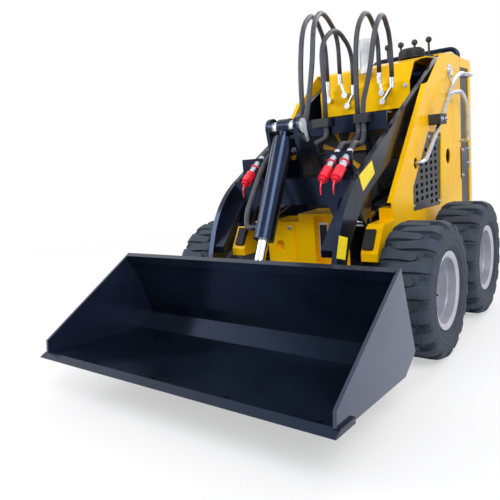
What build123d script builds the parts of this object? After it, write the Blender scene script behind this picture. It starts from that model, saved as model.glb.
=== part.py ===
from build123d import *
import os
from math import atan2, cos, degrees, hypot, pi, radians, sin, sqrt, tan

os.makedirs("parts", exist_ok=True)

# Frame: millimetres, Z up, the ground at Z 0, X 0 in the middle of the machine.
# The bucket points to -Y, so the machine's left side is +X. Y 0 is half of the overall length.

# Driving dimensions: whole machine
overall_length = 2300
bucket_width = 1150
bucket_tip_y = -overall_length / 2
platform_rear_y = overall_length / 2

# Driving dimensions: wheels
tyre_diameter = 508
tyre_width = 198
rim_flange_diameter = 290
rim_seat_diameter = 254
rim_width = 150
rim_wall = 5
tyre_shoulder_width = 34
tyre_shoulder_drop = 16
wheel_centre_x = 471
front_axle_y = -210
wheelbase = 580
hub_diameter = 104
hub_gap = 0.08

# Driving dimensions: boom
arm_inner_x = 267
arm_thickness = 22
boom_pivot = (657, 1117)
boom_pin_diameter = 45
arm_top_boss_radius = 72
bucket_hinge = (-550, 214)
hinge_pin_diameter = 32
arm_foot_boss_radius = 42
pin_clearance = 0.05
face_gap = 2

# Driving dimensions: bucket
bucket_tip_z = 162
bucket_heel = (-702, 126)
bucket_back_corner = (-615, 173)
bucket_rim = (-705, 451)
bucket_plate = 8
side_plate = 10
edge_depth = 100
edge_thickness = 16
edge_overhang = 8
rim_height = 33
rim_depth = 16
attach_plate = 16
attach_half_width = 310

# Driving dimensions: tilt cylinder
tilt_top_pin = (-340, 891)
tilt_rod_pin = (-612, 366)
tilt_barrel_diameter = 78
tilt_barrel_length = 454
tilt_barrel_start = 52
tilt_rod_diameter = 40
tilt_eye_width = 48
tilt_pin_diameter = 32
tilt_eye_radius = 32
tilt_rod_eye_radius = 24

# Driving dimensions: lift cylinders
lift_x = 238
lift_rod_pin = (-222, 508)
lift_base_pin = (600, 620)
lift_barrel_diameter = 60
lift_rod_diameter = 32
lift_barrel_length = 700
lift_eye_width = 32
lift_eye_radius = 24
lift_pin_diameter = 26

# Driving dimensions: frame, towers and hood
plate = 8
sheet = 6
frame_half_width = 198
frame_front_y = -240
frame_rear_y = 850
belly_z = 150
tower_outer_x = 330
tower_front_y = -133
tower_floor_z = 330
tower_cap_z = 1207
hood_rear_y = 1055
hood_front = (560, 1190)
hood_crest = (712, 1200)
hood_rear_z = 1194
bay_floor_z = 430

# Driving dimensions: hoses and steel tubes
hose_radius = 10.5
tube_radius = 9.5
ferrule_radius = 12.5

# Both sides of the machine, as name and sign of X
sides = (("left", 1), ("right", -1))

# Sizes that follow from the ones above
tyre_radius = tyre_diameter / 2
inner_plate_x = frame_half_width - plate
bucket_tip = (bucket_tip_y, bucket_tip_z)
tower_inner_x = tower_outer_x - sheet


def polar(centre, radius, angle):
    """Point at a radius and an angle in degrees about a centre, in side view."""
    return (centre[0] + radius * cos(radians(angle)), centre[1] + radius * sin(radians(angle)))


def direction(start, end):
    """Angle in degrees from one side view point to another."""
    return degrees(atan2(end[1] - start[1], end[0] - start[0]))


def above(start, along, height, angle):
    """Point along a sloping line and a height square to it, in side view."""
    return polar(polar(start, along, angle), height, angle + 90)


def side_plane(x, origin=(0, 0), angle=0):
    """Side view plane at x: local x is Y turned by the angle, local y is Z turned with it."""
    turned = (0, cos(radians(angle)), sin(radians(angle)))
    return Plane(origin=(x, origin[0], origin[1]), x_dir=turned, z_dir=(1, 0, 0))


def bend_radii(points):
    """Radius at each inner corner of a route, 0.45 of the shorter run over the tangent of half the turn."""
    radii = []
    for before, corner, after in zip(points, points[1:], points[2:]):
        inward = Vector(*corner) - Vector(*before)
        outward = Vector(*after) - Vector(*corner)
        half_turn = radians(inward.get_angle(outward)) / 2
        radii.append(0.45 * min(inward.length, outward.length) / tan(half_turn))
    return radii


def route_wire(points):
    """Straight runs joined by tangent arcs."""
    with BuildLine() as route:
        FilletPolyline(*points, radius=bend_radii(points))
    return route.wire()


def run_along(points, radius, mode=Mode.ADD):
    """Sweep a round section along a route, in the part being built."""
    wire = route_wire(points)
    with BuildSketch(Plane(origin=wire @ 0, z_dir=wire % 0)) as section:
        Circle(radius)
    sweep(section.sketch, path=wire, mode=mode)


def report_runs(name, routes, radius, volume):
    """Print each route's length and bend radii, and the swept volume against section times length."""
    total = 0
    for route_name, points in routes:
        length = route_wire(points).length
        total += length
        print(name, route_name, "length", round(length), "radii", [round(r) for r in bend_radii(points)])
    print(name, "volume", round(volume), "section times length", round(pi * radius**2 * total))


# Bucket shell: floor, heel, back plate and folded rim in one bent sheet
floor_angle = direction(bucket_tip, bucket_heel)
floor_start = polar(bucket_tip, edge_depth, floor_angle)
back_angle = direction(bucket_back_corner, bucket_rim)
shell_width = bucket_width - 2 * side_plate
with BuildPart() as bucket_shell:
    with BuildSketch(Plane.YZ.offset(-shell_width / 2)):
        with BuildLine():
            Polyline(floor_start, bucket_heel, bucket_back_corner, bucket_rim)
            offset(amount=bucket_plate, side=Side.LEFT, closed=True)
        make_face()
    extrude(amount=shell_width)
    with BuildSketch(side_plane(-shell_width / 2, bucket_rim, back_angle - 90)):
        with Locations((-bucket_plate, 0)):
            Rectangle(rim_depth, rim_height, align=(Align.MAX, Align.MAX))
    extrude(amount=shell_width)

bucket_shell.part.label = "bucket_shell"
export_step(bucket_shell.part, "parts/bucket_shell.step")

# Bucket side plates, cut to the bucket's section
side_front = 20
side_nose_height = 58
for side_name, side in sides:
    with BuildPart() as bucket_side:
        with BuildSketch(Plane.YZ.offset(side * bucket_width / 2)):
            with BuildLine():
                Polyline(
                    above(bucket_tip, side_front, edge_thickness, floor_angle),
                    above(bucket_tip, side_front + 2, side_nose_height, floor_angle),
                    bucket_rim,
                    bucket_back_corner,
                    bucket_heel,
                    floor_start,
                    above(bucket_tip, edge_depth, edge_thickness, floor_angle),
                    close=True,
                )
            make_face()
        extrude(amount=-side * side_plate)
    bucket_side.part.label = "bucket_side_" + side_name
    export_step(bucket_side.part, "parts/bucket_side_" + side_name + ".step")

# Cutting edge: a thick plate with a ground front and a row of bolt holes.
# The photo shows four holes at one pitch, set off towards the machine's left.
edge_hole_count = 4
edge_hole_pitch = 280
edge_hole_offset = 104
edge_hole_back = 34
edge_hole_radius = 8
edge_bevel = 24
edge_lip = 4
edge_half_width = bucket_width / 2 + edge_overhang
with BuildPart() as cutting_edge:
    with BuildSketch(side_plane(-edge_half_width, bucket_tip, floor_angle)):
        with BuildLine():
            Polyline(
                (0, 0),
                (edge_depth, 0),
                (edge_depth, edge_thickness),
                (edge_bevel, edge_thickness),
                (0, edge_lip),
                close=True,
            )
        make_face()
    extrude(amount=2 * edge_half_width)
    edge_top = Plane(
        origin=(0, bucket_tip_y, bucket_tip_z),
        x_dir=(1, 0, 0),
        z_dir=(0, -sin(radians(floor_angle)), cos(radians(floor_angle))),
    )
    with BuildSketch(edge_top):
        with Locations((edge_hole_offset, edge_hole_back)):
            with GridLocations(edge_hole_pitch, 1, edge_hole_count, 1):
                Circle(edge_hole_radius)
    extrude(amount=edge_thickness, mode=Mode.SUBTRACT)

cutting_edge.part.label = "cutting_edge"
export_step(cutting_edge.part, "parts/cutting_edge.step")

# Attach plate on the bucket's back, with ears for the arms and a clevis for the tilt rod
ear_thickness = 14
ear_radius = 34
ear_foot_below = 48
ear_foot_above = 60
clevis_foot_below = 60
clevis_foot_above = 44
arm_ear_inner_x = arm_inner_x - face_gap - ear_thickness
arm_ear_outer_x = arm_inner_x + arm_thickness + face_gap
clevis_inner_x = tilt_eye_width / 2 + face_gap
clevis_radius = 28
attach_bottom = 12
attach_top = 262
slot_below = 40
slot_above = 60
hinge_distance = hypot(bucket_hinge[0] - bucket_back_corner[0], bucket_hinge[1] - bucket_back_corner[1])
back_dir = (cos(radians(back_angle)), sin(radians(back_angle)))
hinge_along = (bucket_hinge[0] - bucket_back_corner[0]) * back_dir[0]
hinge_along += (bucket_hinge[1] - bucket_back_corner[1]) * back_dir[1]
hinge_out = sqrt(hinge_distance**2 - hinge_along**2)
rod_dy = tilt_rod_pin[0] - bucket_back_corner[0]
rod_dz = tilt_rod_pin[1] - bucket_back_corner[1]
rod_along = rod_dy * back_dir[0] + rod_dz * back_dir[1]
rod_out = sqrt(rod_dy**2 + rod_dz**2 - rod_along**2)
arm_ear_xs = (
    arm_ear_inner_x,
    arm_ear_outer_x,
    -arm_ear_inner_x - ear_thickness,
    -arm_ear_outer_x - ear_thickness,
)
with BuildPart() as attach_plate_part:
    with BuildSketch(side_plane(-attach_half_width, bucket_back_corner, back_angle)):
        with Locations((attach_bottom, 0)):
            Rectangle(attach_top - attach_bottom, attach_plate, align=(Align.MIN, Align.MAX))
    extrude(amount=2 * attach_half_width)
    for ear_x in arm_ear_xs:
        with BuildSketch(side_plane(ear_x, bucket_back_corner, back_angle)):
            with BuildLine():
                Polyline(
                    (max(hinge_along - ear_foot_below, attach_bottom), -attach_plate),
                    (hinge_along - ear_radius, -hinge_out),
                    (hinge_along + ear_radius, -hinge_out),
                    (hinge_along + ear_foot_above, -attach_plate),
                    close=True,
                )
            make_face()
            with Locations((hinge_along, -hinge_out)):
                Circle(ear_radius)
        extrude(amount=ear_thickness)
    for ear_x in (clevis_inner_x, -clevis_inner_x - ear_thickness):
        with BuildSketch(side_plane(ear_x, bucket_back_corner, back_angle)):
            with BuildLine():
                Polyline(
                    (rod_along - clevis_foot_below, -attach_plate),
                    (rod_along - clevis_radius, -rod_out),
                    (rod_along + clevis_radius, -rod_out),
                    (rod_along + clevis_foot_above, -attach_plate),
                    close=True,
                )
            make_face()
            with Locations((rod_along, -rod_out)):
                Circle(clevis_radius)
        extrude(amount=ear_thickness)
    # Slot between the clevis ears, where the rod's eye swings in
    with BuildSketch(side_plane(-clevis_inner_x, bucket_back_corner, back_angle)):
        with Locations((rod_along - slot_below, 0)):
            Rectangle(slot_below + slot_above, attach_plate, align=(Align.MIN, Align.MAX))
    extrude(amount=2 * clevis_inner_x, mode=Mode.SUBTRACT)
    for origin, radius in ((bucket_hinge, hinge_pin_diameter / 2), (tilt_rod_pin, tilt_pin_diameter / 2)):
        with BuildSketch(side_plane(-attach_half_width, origin)):
            Circle(radius)
        extrude(amount=2 * attach_half_width, mode=Mode.SUBTRACT)

attach_plate_part.part.label = "attach_plate"
export_step(attach_plate_part.part, "parts/attach_plate.step")

# Bucket hinge pins, held by the attach plate's ears, one each side
hinge_pin_end = 6
with BuildPart() as hinge_pins:
    for side_name, side in sides:
        with BuildSketch(side_plane(side * (arm_ear_inner_x - hinge_pin_end), bucket_hinge)):
            Circle(hinge_pin_diameter / 2)
        extrude(amount=side * (arm_ear_outer_x - arm_ear_inner_x + ear_thickness + 2 * hinge_pin_end))

hinge_pins.part.label = "bucket_hinge_pins"
export_step(hinge_pins.part, "parts/bucket_hinge_pins.step")

# Boom arms: one thick bent plate each side, with bosses at both ends, the lift lugs and a rib.
# Rows are the outline's corners in side view with the radius of each corner.
arm_front = (
    (-592, 214, 0),
    (-535, 424, 300),
    (-457, 628, 380),
    (618, 1178, 0),
)
arm_rear = (
    (683, 1062, 0),
    (-305, 598, 110),
    (-458, 425, 200),
    (-508, 214, 0),
)
lug_thickness = 12
lug_eye_radius = 27
lug_outline = ((-331, 600), (-250, 508), (-196, 508), (-176, 650), (-290, 640))
lug_web = ((-322, 600), (-312, 588), (-190, 600), (-176, 650), (-290, 640))
lug_outer_x = arm_inner_x - lug_thickness
lug_inner_x = lift_x - lift_eye_width / 2 - face_gap - lug_thickness
rib_outline = ((-350, 616), (-368, 604), (-521, 452), (-518, 426), (-506, 432), (-350, 598))
rib_width = 48
for side_name, side in sides:
    with BuildPart() as arm:
        with BuildSketch(Plane.YZ.offset(side * arm_inner_x)):
            with BuildLine():
                FilletPolyline(
                    *[(y, z) for y, z, r in arm_front + arm_rear],
                    radius=[r for y, z, r in arm_front + arm_rear],
                    close=True,
                )
            make_face()
            with Locations(boom_pivot):
                Circle(arm_top_boss_radius)
            with Locations(bucket_hinge):
                Circle(arm_foot_boss_radius)
        extrude(amount=side * arm_thickness)
        # Lift lugs hang below the arm, joined by a web under its edge
        for lug_x in (lug_outer_x, lug_inner_x):
            with BuildSketch(Plane.YZ.offset(side * lug_x)):
                with BuildLine():
                    Polyline(*lug_outline, close=True)
                make_face()
                with Locations(lift_rod_pin):
                    Circle(lug_eye_radius)
            extrude(amount=side * lug_thickness)
        with BuildSketch(Plane.YZ.offset(side * lug_inner_x)):
            with BuildLine():
                Polyline(*lug_web, close=True)
            make_face()
        extrude(amount=side * (arm_inner_x - lug_inner_x))
        # Rib on the inner face, running down from the cross member to a point
        with BuildSketch(Plane.YZ.offset(side * (arm_inner_x - rib_width))):
            with BuildLine():
                Polyline(*rib_outline, close=True)
            make_face()
        extrude(amount=side * rib_width)
        with BuildSketch(side_plane(side * arm_inner_x, boom_pivot)):
            Circle(boom_pin_diameter / 2 + pin_clearance)
        extrude(amount=side * arm_thickness, mode=Mode.SUBTRACT)
        with BuildSketch(side_plane(side * arm_inner_x, bucket_hinge)):
            Circle(hinge_pin_diameter / 2 + pin_clearance)
        extrude(amount=side * arm_thickness, mode=Mode.SUBTRACT)
        with BuildSketch(side_plane(side * lug_inner_x, lift_rod_pin)):
            Circle(lift_pin_diameter / 2)
        extrude(amount=side * (arm_inner_x - lug_inner_x), mode=Mode.SUBTRACT)
    arm.part.label = "arm_" + side_name
    export_step(arm.part, "parts/arm_" + side_name + ".step")

# Quick couplers point forward and down through two small plates on the lower cross member.
# Rows are X of each coupler.
coupler_xs = (176, 228, -176)
coupler_start = (-300, 756)
coupler_angle = 215
coupler_radius = 15.5
coupler_back = 44
coupler_front = 60
coupler_plate_inner_x = 152
coupler_plate_outer_x = 252
coupler_plate_top_z = 782
coupler_dir = (0, cos(radians(coupler_angle)), sin(radians(coupler_angle)))

# Lower cross member: a bent plate between the arms with an arched front, and the coupler plates
cross_front_y = -350
cross_rear_y = -196
cross_top_z = 694
cross_bottom_z = 505
cross_plate = 12
arch_top_z = 592
arch_half_width = 164
arch_foot_half_width = 204
arch_radius = 24
with BuildPart() as lower_cross:
    with BuildSketch(Plane.XZ.offset(-cross_front_y - cross_plate)):
        with BuildLine():
            FilletPolyline(
                (-arm_inner_x, cross_top_z),
                (arm_inner_x, cross_top_z),
                (arm_inner_x, cross_bottom_z),
                (arch_foot_half_width, cross_bottom_z),
                (arch_half_width, arch_top_z),
                (-arch_half_width, arch_top_z),
                (-arch_foot_half_width, cross_bottom_z),
                (-arm_inner_x, cross_bottom_z),
                radius=[0, 0, 0, arch_radius, arch_radius, arch_radius, arch_radius, 0],
                close=True,
            )
        make_face()
    extrude(amount=cross_plate)
    with BuildSketch(Plane.XY.offset(cross_top_z - cross_plate)):
        with Locations((0, (cross_front_y + cross_rear_y) / 2)):
            Rectangle(2 * arm_inner_x, cross_rear_y - cross_front_y)
    extrude(amount=cross_plate)
    with BuildSketch(Plane.XZ.offset(-coupler_start[0] - plate / 2)):
        for side_name, side in sides:
            with Locations((side * (coupler_plate_inner_x + coupler_plate_outer_x) / 2, cross_top_z)):
                Rectangle(
                    coupler_plate_outer_x - coupler_plate_inner_x,
                    coupler_plate_top_z - cross_top_z,
                    align=(Align.CENTER, Align.MIN),
                )
    extrude(amount=plate)
    for coupler_x in coupler_xs:
        through = Plane(
            origin=(coupler_x, coupler_start[0], coupler_start[1]), x_dir=(1, 0, 0), z_dir=coupler_dir
        )
        with BuildSketch(through.offset(-coupler_radius - plate)):
            Circle(coupler_radius + pin_clearance)
        extrude(amount=2 * (coupler_radius + plate), mode=Mode.SUBTRACT)

lower_cross.part.label = "lower_cross_member"
export_step(lower_cross.part, "parts/lower_cross_member.step")

# Couplers with the hose ferrule behind the plate, and their red caps in front
with BuildPart() as quick_couplers:
    for coupler_x in coupler_xs:
        coupler_plane = Plane(
            origin=(coupler_x, coupler_start[0], coupler_start[1]), x_dir=(1, 0, 0), z_dir=coupler_dir
        )
        with BuildSketch(coupler_plane.offset(-coupler_back)):
            Circle(ferrule_radius)
        extrude(amount=coupler_back)
        with BuildSketch(coupler_plane.offset(-coupler_radius)):
            Circle(coupler_radius)
        extrude(amount=coupler_front + coupler_radius)

quick_couplers.part.label = "quick_couplers"
export_step(quick_couplers.part, "parts/quick_couplers.step")

cap_radius = 20
cap_nose_radius = 13
cap_length = 66
cap_nose = 12
with BuildPart() as coupler_caps:
    for coupler_x in coupler_xs:
        coupler_plane = Plane(
            origin=(coupler_x, coupler_start[0], coupler_start[1]), x_dir=(1, 0, 0), z_dir=coupler_dir
        )
        with BuildSketch(coupler_plane.offset(coupler_front)):
            Circle(cap_radius)
        extrude(amount=cap_length - cap_nose)
        with BuildSketch(coupler_plane.offset(coupler_front + cap_length - cap_nose)):
            Circle(cap_nose_radius)
        extrude(amount=cap_nose)

coupler_caps.part.label = "coupler_caps"
export_step(coupler_caps.part, "parts/coupler_caps.step")

# Places where the boom hoses are held: the cross member's clamps and the tilt bracket's clamp.
# Rows are X of each hose at the upper cross member.
clamp_hose_y = -14
clamp_low_z = 890
clamp_high_z = 926
clamp_xs = (0, 150, 174)
clamp_blocks = ((-60, 18), (136, 200))
tilt_clamp = (2, -208)
tilt_clamp_low_z = 800
tilt_clamp_high_z = 832

# Tilt bracket: two tall ears on the lower cross member, with a plate between them
ear_inner_x = 54
bracket_ear = 16
bracket_eye_radius = 38
ear_outline = ((-378, 891), (-302, 891), (-249, 824), (-200, cross_top_z), (-345, cross_top_z))
bracket_plate_y = -225
bracket_plate = 10
bracket_plate_height = 70
bracket_tab_half_width = 22
with BuildPart() as tilt_bracket:
    for ear_x in (ear_inner_x, -ear_inner_x - bracket_ear):
        with BuildSketch(Plane.YZ.offset(ear_x)):
            with BuildLine():
                Polyline(*ear_outline, close=True)
            make_face()
            with Locations(tilt_top_pin):
                Circle(bracket_eye_radius)
            with Locations(tilt_top_pin):
                Circle(tilt_pin_diameter / 2, mode=Mode.SUBTRACT)
        extrude(amount=bracket_ear)
    with BuildSketch(Plane.XZ.offset(-bracket_plate_y)):
        with Locations((0, cross_top_z)):
            Rectangle(2 * ear_inner_x, bracket_plate_height, align=(Align.CENTER, Align.MIN))
        with Locations((tilt_clamp[0], cross_top_z)):
            Rectangle(
                2 * bracket_tab_half_width,
                tilt_clamp_high_z - cross_top_z,
                align=(Align.CENTER, Align.MIN),
            )
    extrude(amount=bracket_plate)

tilt_bracket.part.label = "tilt_bracket"
export_step(tilt_bracket.part, "parts/tilt_bracket.step")

# Top pin of the tilt cylinder with its spacers and lock plate
pin_end = 8
spacer_radius = tilt_pin_diameter / 2 + 8
spacer_gap = 1
lock_plate = 7
lock_head_radius = 27
lock_outline = ((-16, 26), (16, 26), (38, -50), (16, -56))
lock_bolt = (27, -50)
lock_bolt_radius = 12
with BuildPart() as tilt_pin:
    with BuildSketch(side_plane(-ear_inner_x - bracket_ear - pin_end, tilt_top_pin)):
        Circle(tilt_pin_diameter / 2)
    extrude(amount=2 * (ear_inner_x + bracket_ear + pin_end))
    for spacer_x in (tilt_eye_width / 2 + spacer_gap, -ear_inner_x):
        with BuildSketch(side_plane(spacer_x, tilt_top_pin)):
            Circle(spacer_radius)
        extrude(amount=ear_inner_x - tilt_eye_width / 2 - spacer_gap)
    with BuildSketch(side_plane(ear_inner_x + bracket_ear, tilt_top_pin)):
        with BuildLine():
            Polyline(*lock_outline, close=True)
        make_face()
        Circle(lock_head_radius)
        with Locations(lock_bolt):
            Circle(lock_bolt_radius)
    extrude(amount=lock_plate)

tilt_pin.part.label = "tilt_pin"
export_step(tilt_pin.part, "parts/tilt_pin.step")

# Upper cross member: a channel between the arms that carries the hose clamps
upper_cross_y = 30
upper_cross_z = 891
upper_cross_depth = 56
upper_cross_height = 70
with BuildPart() as upper_cross:
    with BuildSketch(Plane.YZ.offset(-arm_inner_x)):
        with Locations((upper_cross_y, upper_cross_z)):
            Rectangle(upper_cross_depth, upper_cross_height)
        with Locations((upper_cross_y + plate, upper_cross_z)):
            Rectangle(upper_cross_depth, upper_cross_height - 2 * plate, mode=Mode.SUBTRACT)
    extrude(amount=2 * arm_inner_x)

upper_cross.part.label = "upper_cross_member"
export_step(upper_cross.part, "parts/upper_cross_member.step")

# Hose clamps: blocks bored for the hoses, on the upper cross member and on the tilt bracket
clamp_depth = 32
tilt_clamp_depth = 35
upper_cross_face_y = upper_cross_y - upper_cross_depth / 2
with BuildPart() as hose_clamps:
    with BuildSketch(Plane.XY.offset(clamp_low_z)):
        for block_start, block_end in clamp_blocks:
            with Locations(((block_start + block_end) / 2, upper_cross_face_y)):
                Rectangle(block_end - block_start, clamp_depth, align=(Align.CENTER, Align.MAX))
        for hose_x in clamp_xs:
            with Locations((hose_x, clamp_hose_y)):
                Circle(hose_radius + pin_clearance, mode=Mode.SUBTRACT)
    extrude(amount=clamp_high_z - clamp_low_z)
    with BuildSketch(Plane.XY.offset(tilt_clamp_low_z)):
        with Locations((tilt_clamp[0], bracket_plate_y)):
            Rectangle(2 * bracket_tab_half_width, tilt_clamp_depth, align=(Align.CENTER, Align.MIN))
        with Locations(tilt_clamp):
            Circle(hose_radius + pin_clearance, mode=Mode.SUBTRACT)
    extrude(amount=tilt_clamp_high_z - tilt_clamp_low_z)

hose_clamps.part.label = "hose_clamps"
export_step(hose_clamps.part, "parts/hose_clamps.step")

# Tilt cylinder: barrel hung on the bracket with its two ports, rod eye in the bucket's clevis
tilt_angle = direction(tilt_top_pin, tilt_rod_pin)
tilt_down = (0, cos(radians(tilt_angle)), sin(radians(tilt_angle)))
tilt_neck_radius = 22
tilt_neck_start = 20
tilt_gland = 20
port_radius = 14
port_depth = 26
upper_port_along = 111
upper_port_reach = 66
lower_port_along = 406
lower_port_reach = 52
upper_port = polar(tilt_top_pin, upper_port_along, tilt_angle)
upper_port_end = (upper_port[0] + upper_port_reach, upper_port[1])
lower_port = polar(tilt_top_pin, lower_port_along, tilt_angle)
with BuildPart() as tilt_barrel:
    with BuildSketch(side_plane(-tilt_eye_width / 2, tilt_top_pin)):
        Circle(tilt_eye_radius)
    extrude(amount=tilt_eye_width)
    barrel_axis = Plane(origin=(0, tilt_top_pin[0], tilt_top_pin[1]), x_dir=(1, 0, 0), z_dir=tilt_down)
    with BuildSketch(barrel_axis.offset(tilt_neck_start)):
        Circle(tilt_neck_radius)
    extrude(amount=tilt_barrel_start - tilt_neck_start)
    with BuildSketch(barrel_axis.offset(tilt_barrel_start)):
        Circle(tilt_barrel_diameter / 2)
    extrude(amount=tilt_barrel_length - tilt_barrel_start)
    with BuildSketch(Plane.XZ.offset(-upper_port_end[0])):
        with Locations((0, upper_port_end[1])):
            Circle(port_radius)
    extrude(amount=upper_port_reach - port_depth)
    with BuildSketch(side_plane(-lower_port_reach, lower_port)):
        Circle(port_radius)
    extrude(amount=lower_port_reach - port_depth)
    with BuildSketch(side_plane(-tilt_eye_width / 2, tilt_top_pin)):
        Circle(tilt_pin_diameter / 2 + pin_clearance)
    extrude(amount=tilt_eye_width, mode=Mode.SUBTRACT)
    with BuildSketch(barrel_axis.offset(tilt_barrel_start + tilt_gland)):
        Circle(tilt_rod_diameter / 2 + pin_clearance)
    extrude(amount=tilt_barrel_length, mode=Mode.SUBTRACT)

tilt_barrel.part.label = "tilt_cylinder_barrel"
export_step(tilt_barrel.part, "parts/tilt_cylinder_barrel.step")

tilt_rod_inside = 440
with BuildPart() as tilt_rod:
    with BuildSketch(side_plane(-tilt_eye_width / 2, tilt_rod_pin)):
        Circle(tilt_rod_eye_radius)
    extrude(amount=tilt_eye_width)
    rod_axis = Plane(
        origin=(0, tilt_rod_pin[0], tilt_rod_pin[1]),
        x_dir=(1, 0, 0),
        z_dir=(0, -tilt_down[1], -tilt_down[2]),
    )
    with BuildSketch(rod_axis):
        Circle(tilt_rod_diameter / 2)
    extrude(amount=tilt_rod_inside)

tilt_rod.part.label = "tilt_cylinder_rod"
export_step(tilt_rod.part, "parts/tilt_cylinder_rod.step")

# Hose from the tilt bracket's clamp round the ear and down to the cylinder's lower port
tilt_hose_route = (
    (tilt_clamp[0], tilt_clamp[1], tilt_clamp_low_z),
    (tilt_clamp[0], tilt_clamp[1], 752),
    (-92, -206, 752),
    (-94, -300, 812),
    (-90, -400, 738),
    (-90, -516, 585),
    (-90, lower_port[0], lower_port[1]),
    (-lower_port_reach, lower_port[0], lower_port[1]),
)
with BuildPart() as tilt_hose:
    run_along(tilt_hose_route, hose_radius)

tilt_hose.part.label = "tilt_hose"
export_step(tilt_hose.part, "parts/tilt_hose.step")
report_runs("tilt_hose", (("lower port", tilt_hose_route),), hose_radius, tilt_hose.part.volume)

# Hoses from the cross member's clamps to the quick couplers.
# Each leaves its clamp straight down and meets its coupler along the coupler's axis.
# Rows are name, X at the clamp, the corner between, and X at the coupler.
clamp_drop_z = 846
coupler_lead = 50
coupler_rear = polar(coupler_start, -coupler_back, coupler_angle)
coupler_before = polar(coupler_start, -coupler_back - coupler_lead, coupler_angle)
coupler_corners = (
    ("left pair inner", clamp_xs[1], (168, -110, 806), coupler_xs[0]),
    ("left pair outer", clamp_xs[2], (205, -110, 800), coupler_xs[1]),
    ("right single", clamp_xs[0], (-60, -110, 800), coupler_xs[2]),
)
coupler_routes = []
for route_name, clamp_x, corner, coupler_x in coupler_corners:
    coupler_routes.append(
        (
            route_name,
            (
                (clamp_x, clamp_hose_y, clamp_low_z),
                (clamp_x, clamp_hose_y, clamp_drop_z),
                corner,
                (coupler_x, coupler_before[0], coupler_before[1]),
                (coupler_x, coupler_rear[0], coupler_rear[1]),
            ),
        )
    )
with BuildPart() as coupler_hoses:
    for route_name, route in coupler_routes:
        run_along(route, hose_radius)

coupler_hoses.part.label = "coupler_hoses"
export_step(coupler_hoses.part, "parts/coupler_hoses.step")
report_runs("coupler_hoses", coupler_routes, hose_radius, coupler_hoses.part.volume)

# Lift cylinders: barrel pinned low in the tower, rod eye in the arm's lugs
lift_angle = direction(lift_base_pin, lift_rod_pin)
lift_dir = (0, cos(radians(lift_angle)), sin(radians(lift_angle)))
lift_rod_inside = 700
lift_barrel_start = 22
lift_bore_start = 50
lift_base_eye_radius = 30
for side_name, side in sides:
    x = side * lift_x
    with BuildPart() as lift_barrel:
        with BuildSketch(side_plane(x - lift_eye_width / 2, lift_base_pin)):
            Circle(lift_base_eye_radius)
        extrude(amount=lift_eye_width)
        base_axis = Plane(origin=(x, lift_base_pin[0], lift_base_pin[1]), x_dir=(1, 0, 0), z_dir=lift_dir)
        with BuildSketch(base_axis.offset(lift_barrel_start)):
            Circle(lift_barrel_diameter / 2)
        extrude(amount=lift_barrel_length - lift_barrel_start)
        with BuildSketch(side_plane(x - lift_eye_width / 2, lift_base_pin)):
            Circle(lift_pin_diameter / 2 + pin_clearance)
        extrude(amount=lift_eye_width, mode=Mode.SUBTRACT)
        with BuildSketch(base_axis.offset(lift_bore_start)):
            Circle(lift_rod_diameter / 2 + pin_clearance)
        extrude(amount=lift_barrel_length, mode=Mode.SUBTRACT)
    lift_barrel.part.label = "lift_cylinder_barrel_" + side_name
    export_step(lift_barrel.part, "parts/lift_cylinder_barrel_" + side_name + ".step")

    with BuildPart() as lift_rod:
        with BuildSketch(side_plane(x - lift_eye_width / 2, lift_rod_pin)):
            Circle(lift_eye_radius)
        extrude(amount=lift_eye_width)
        back_axis = Plane(
            origin=(x, lift_rod_pin[0], lift_rod_pin[1]),
            x_dir=(1, 0, 0),
            z_dir=(0, -lift_dir[1], -lift_dir[2]),
        )
        with BuildSketch(back_axis):
            Circle(lift_rod_diameter / 2)
        extrude(amount=lift_rod_inside)
    lift_rod.part.label = "lift_cylinder_rod_" + side_name
    export_step(lift_rod.part, "parts/lift_cylinder_rod_" + side_name + ".step")

# Front panel: the folded bulkhead between the arms. Rows are its outer line in side view.
panel_half_width = 232
panel_y = 380
panel_foot_z = 954
panel_outer = ((panel_y, panel_foot_z), (panel_y, 1071), (450, 1164), hood_front)
panel_inner = (
    (hood_front[0], hood_front[1] - sheet),
    (453, 1159),
    (panel_y + 4, 1069),
    (panel_y + 4, panel_foot_z),
)
with BuildPart() as front_panel:
    with BuildSketch(Plane.YZ.offset(-panel_half_width)):
        with BuildLine():
            Polyline(*panel_outer, *panel_inner, close=True)
        make_face()
    extrude(amount=2 * panel_half_width)

front_panel.part.label = "front_panel"
export_step(front_panel.part, "parts/front_panel.step")

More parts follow.
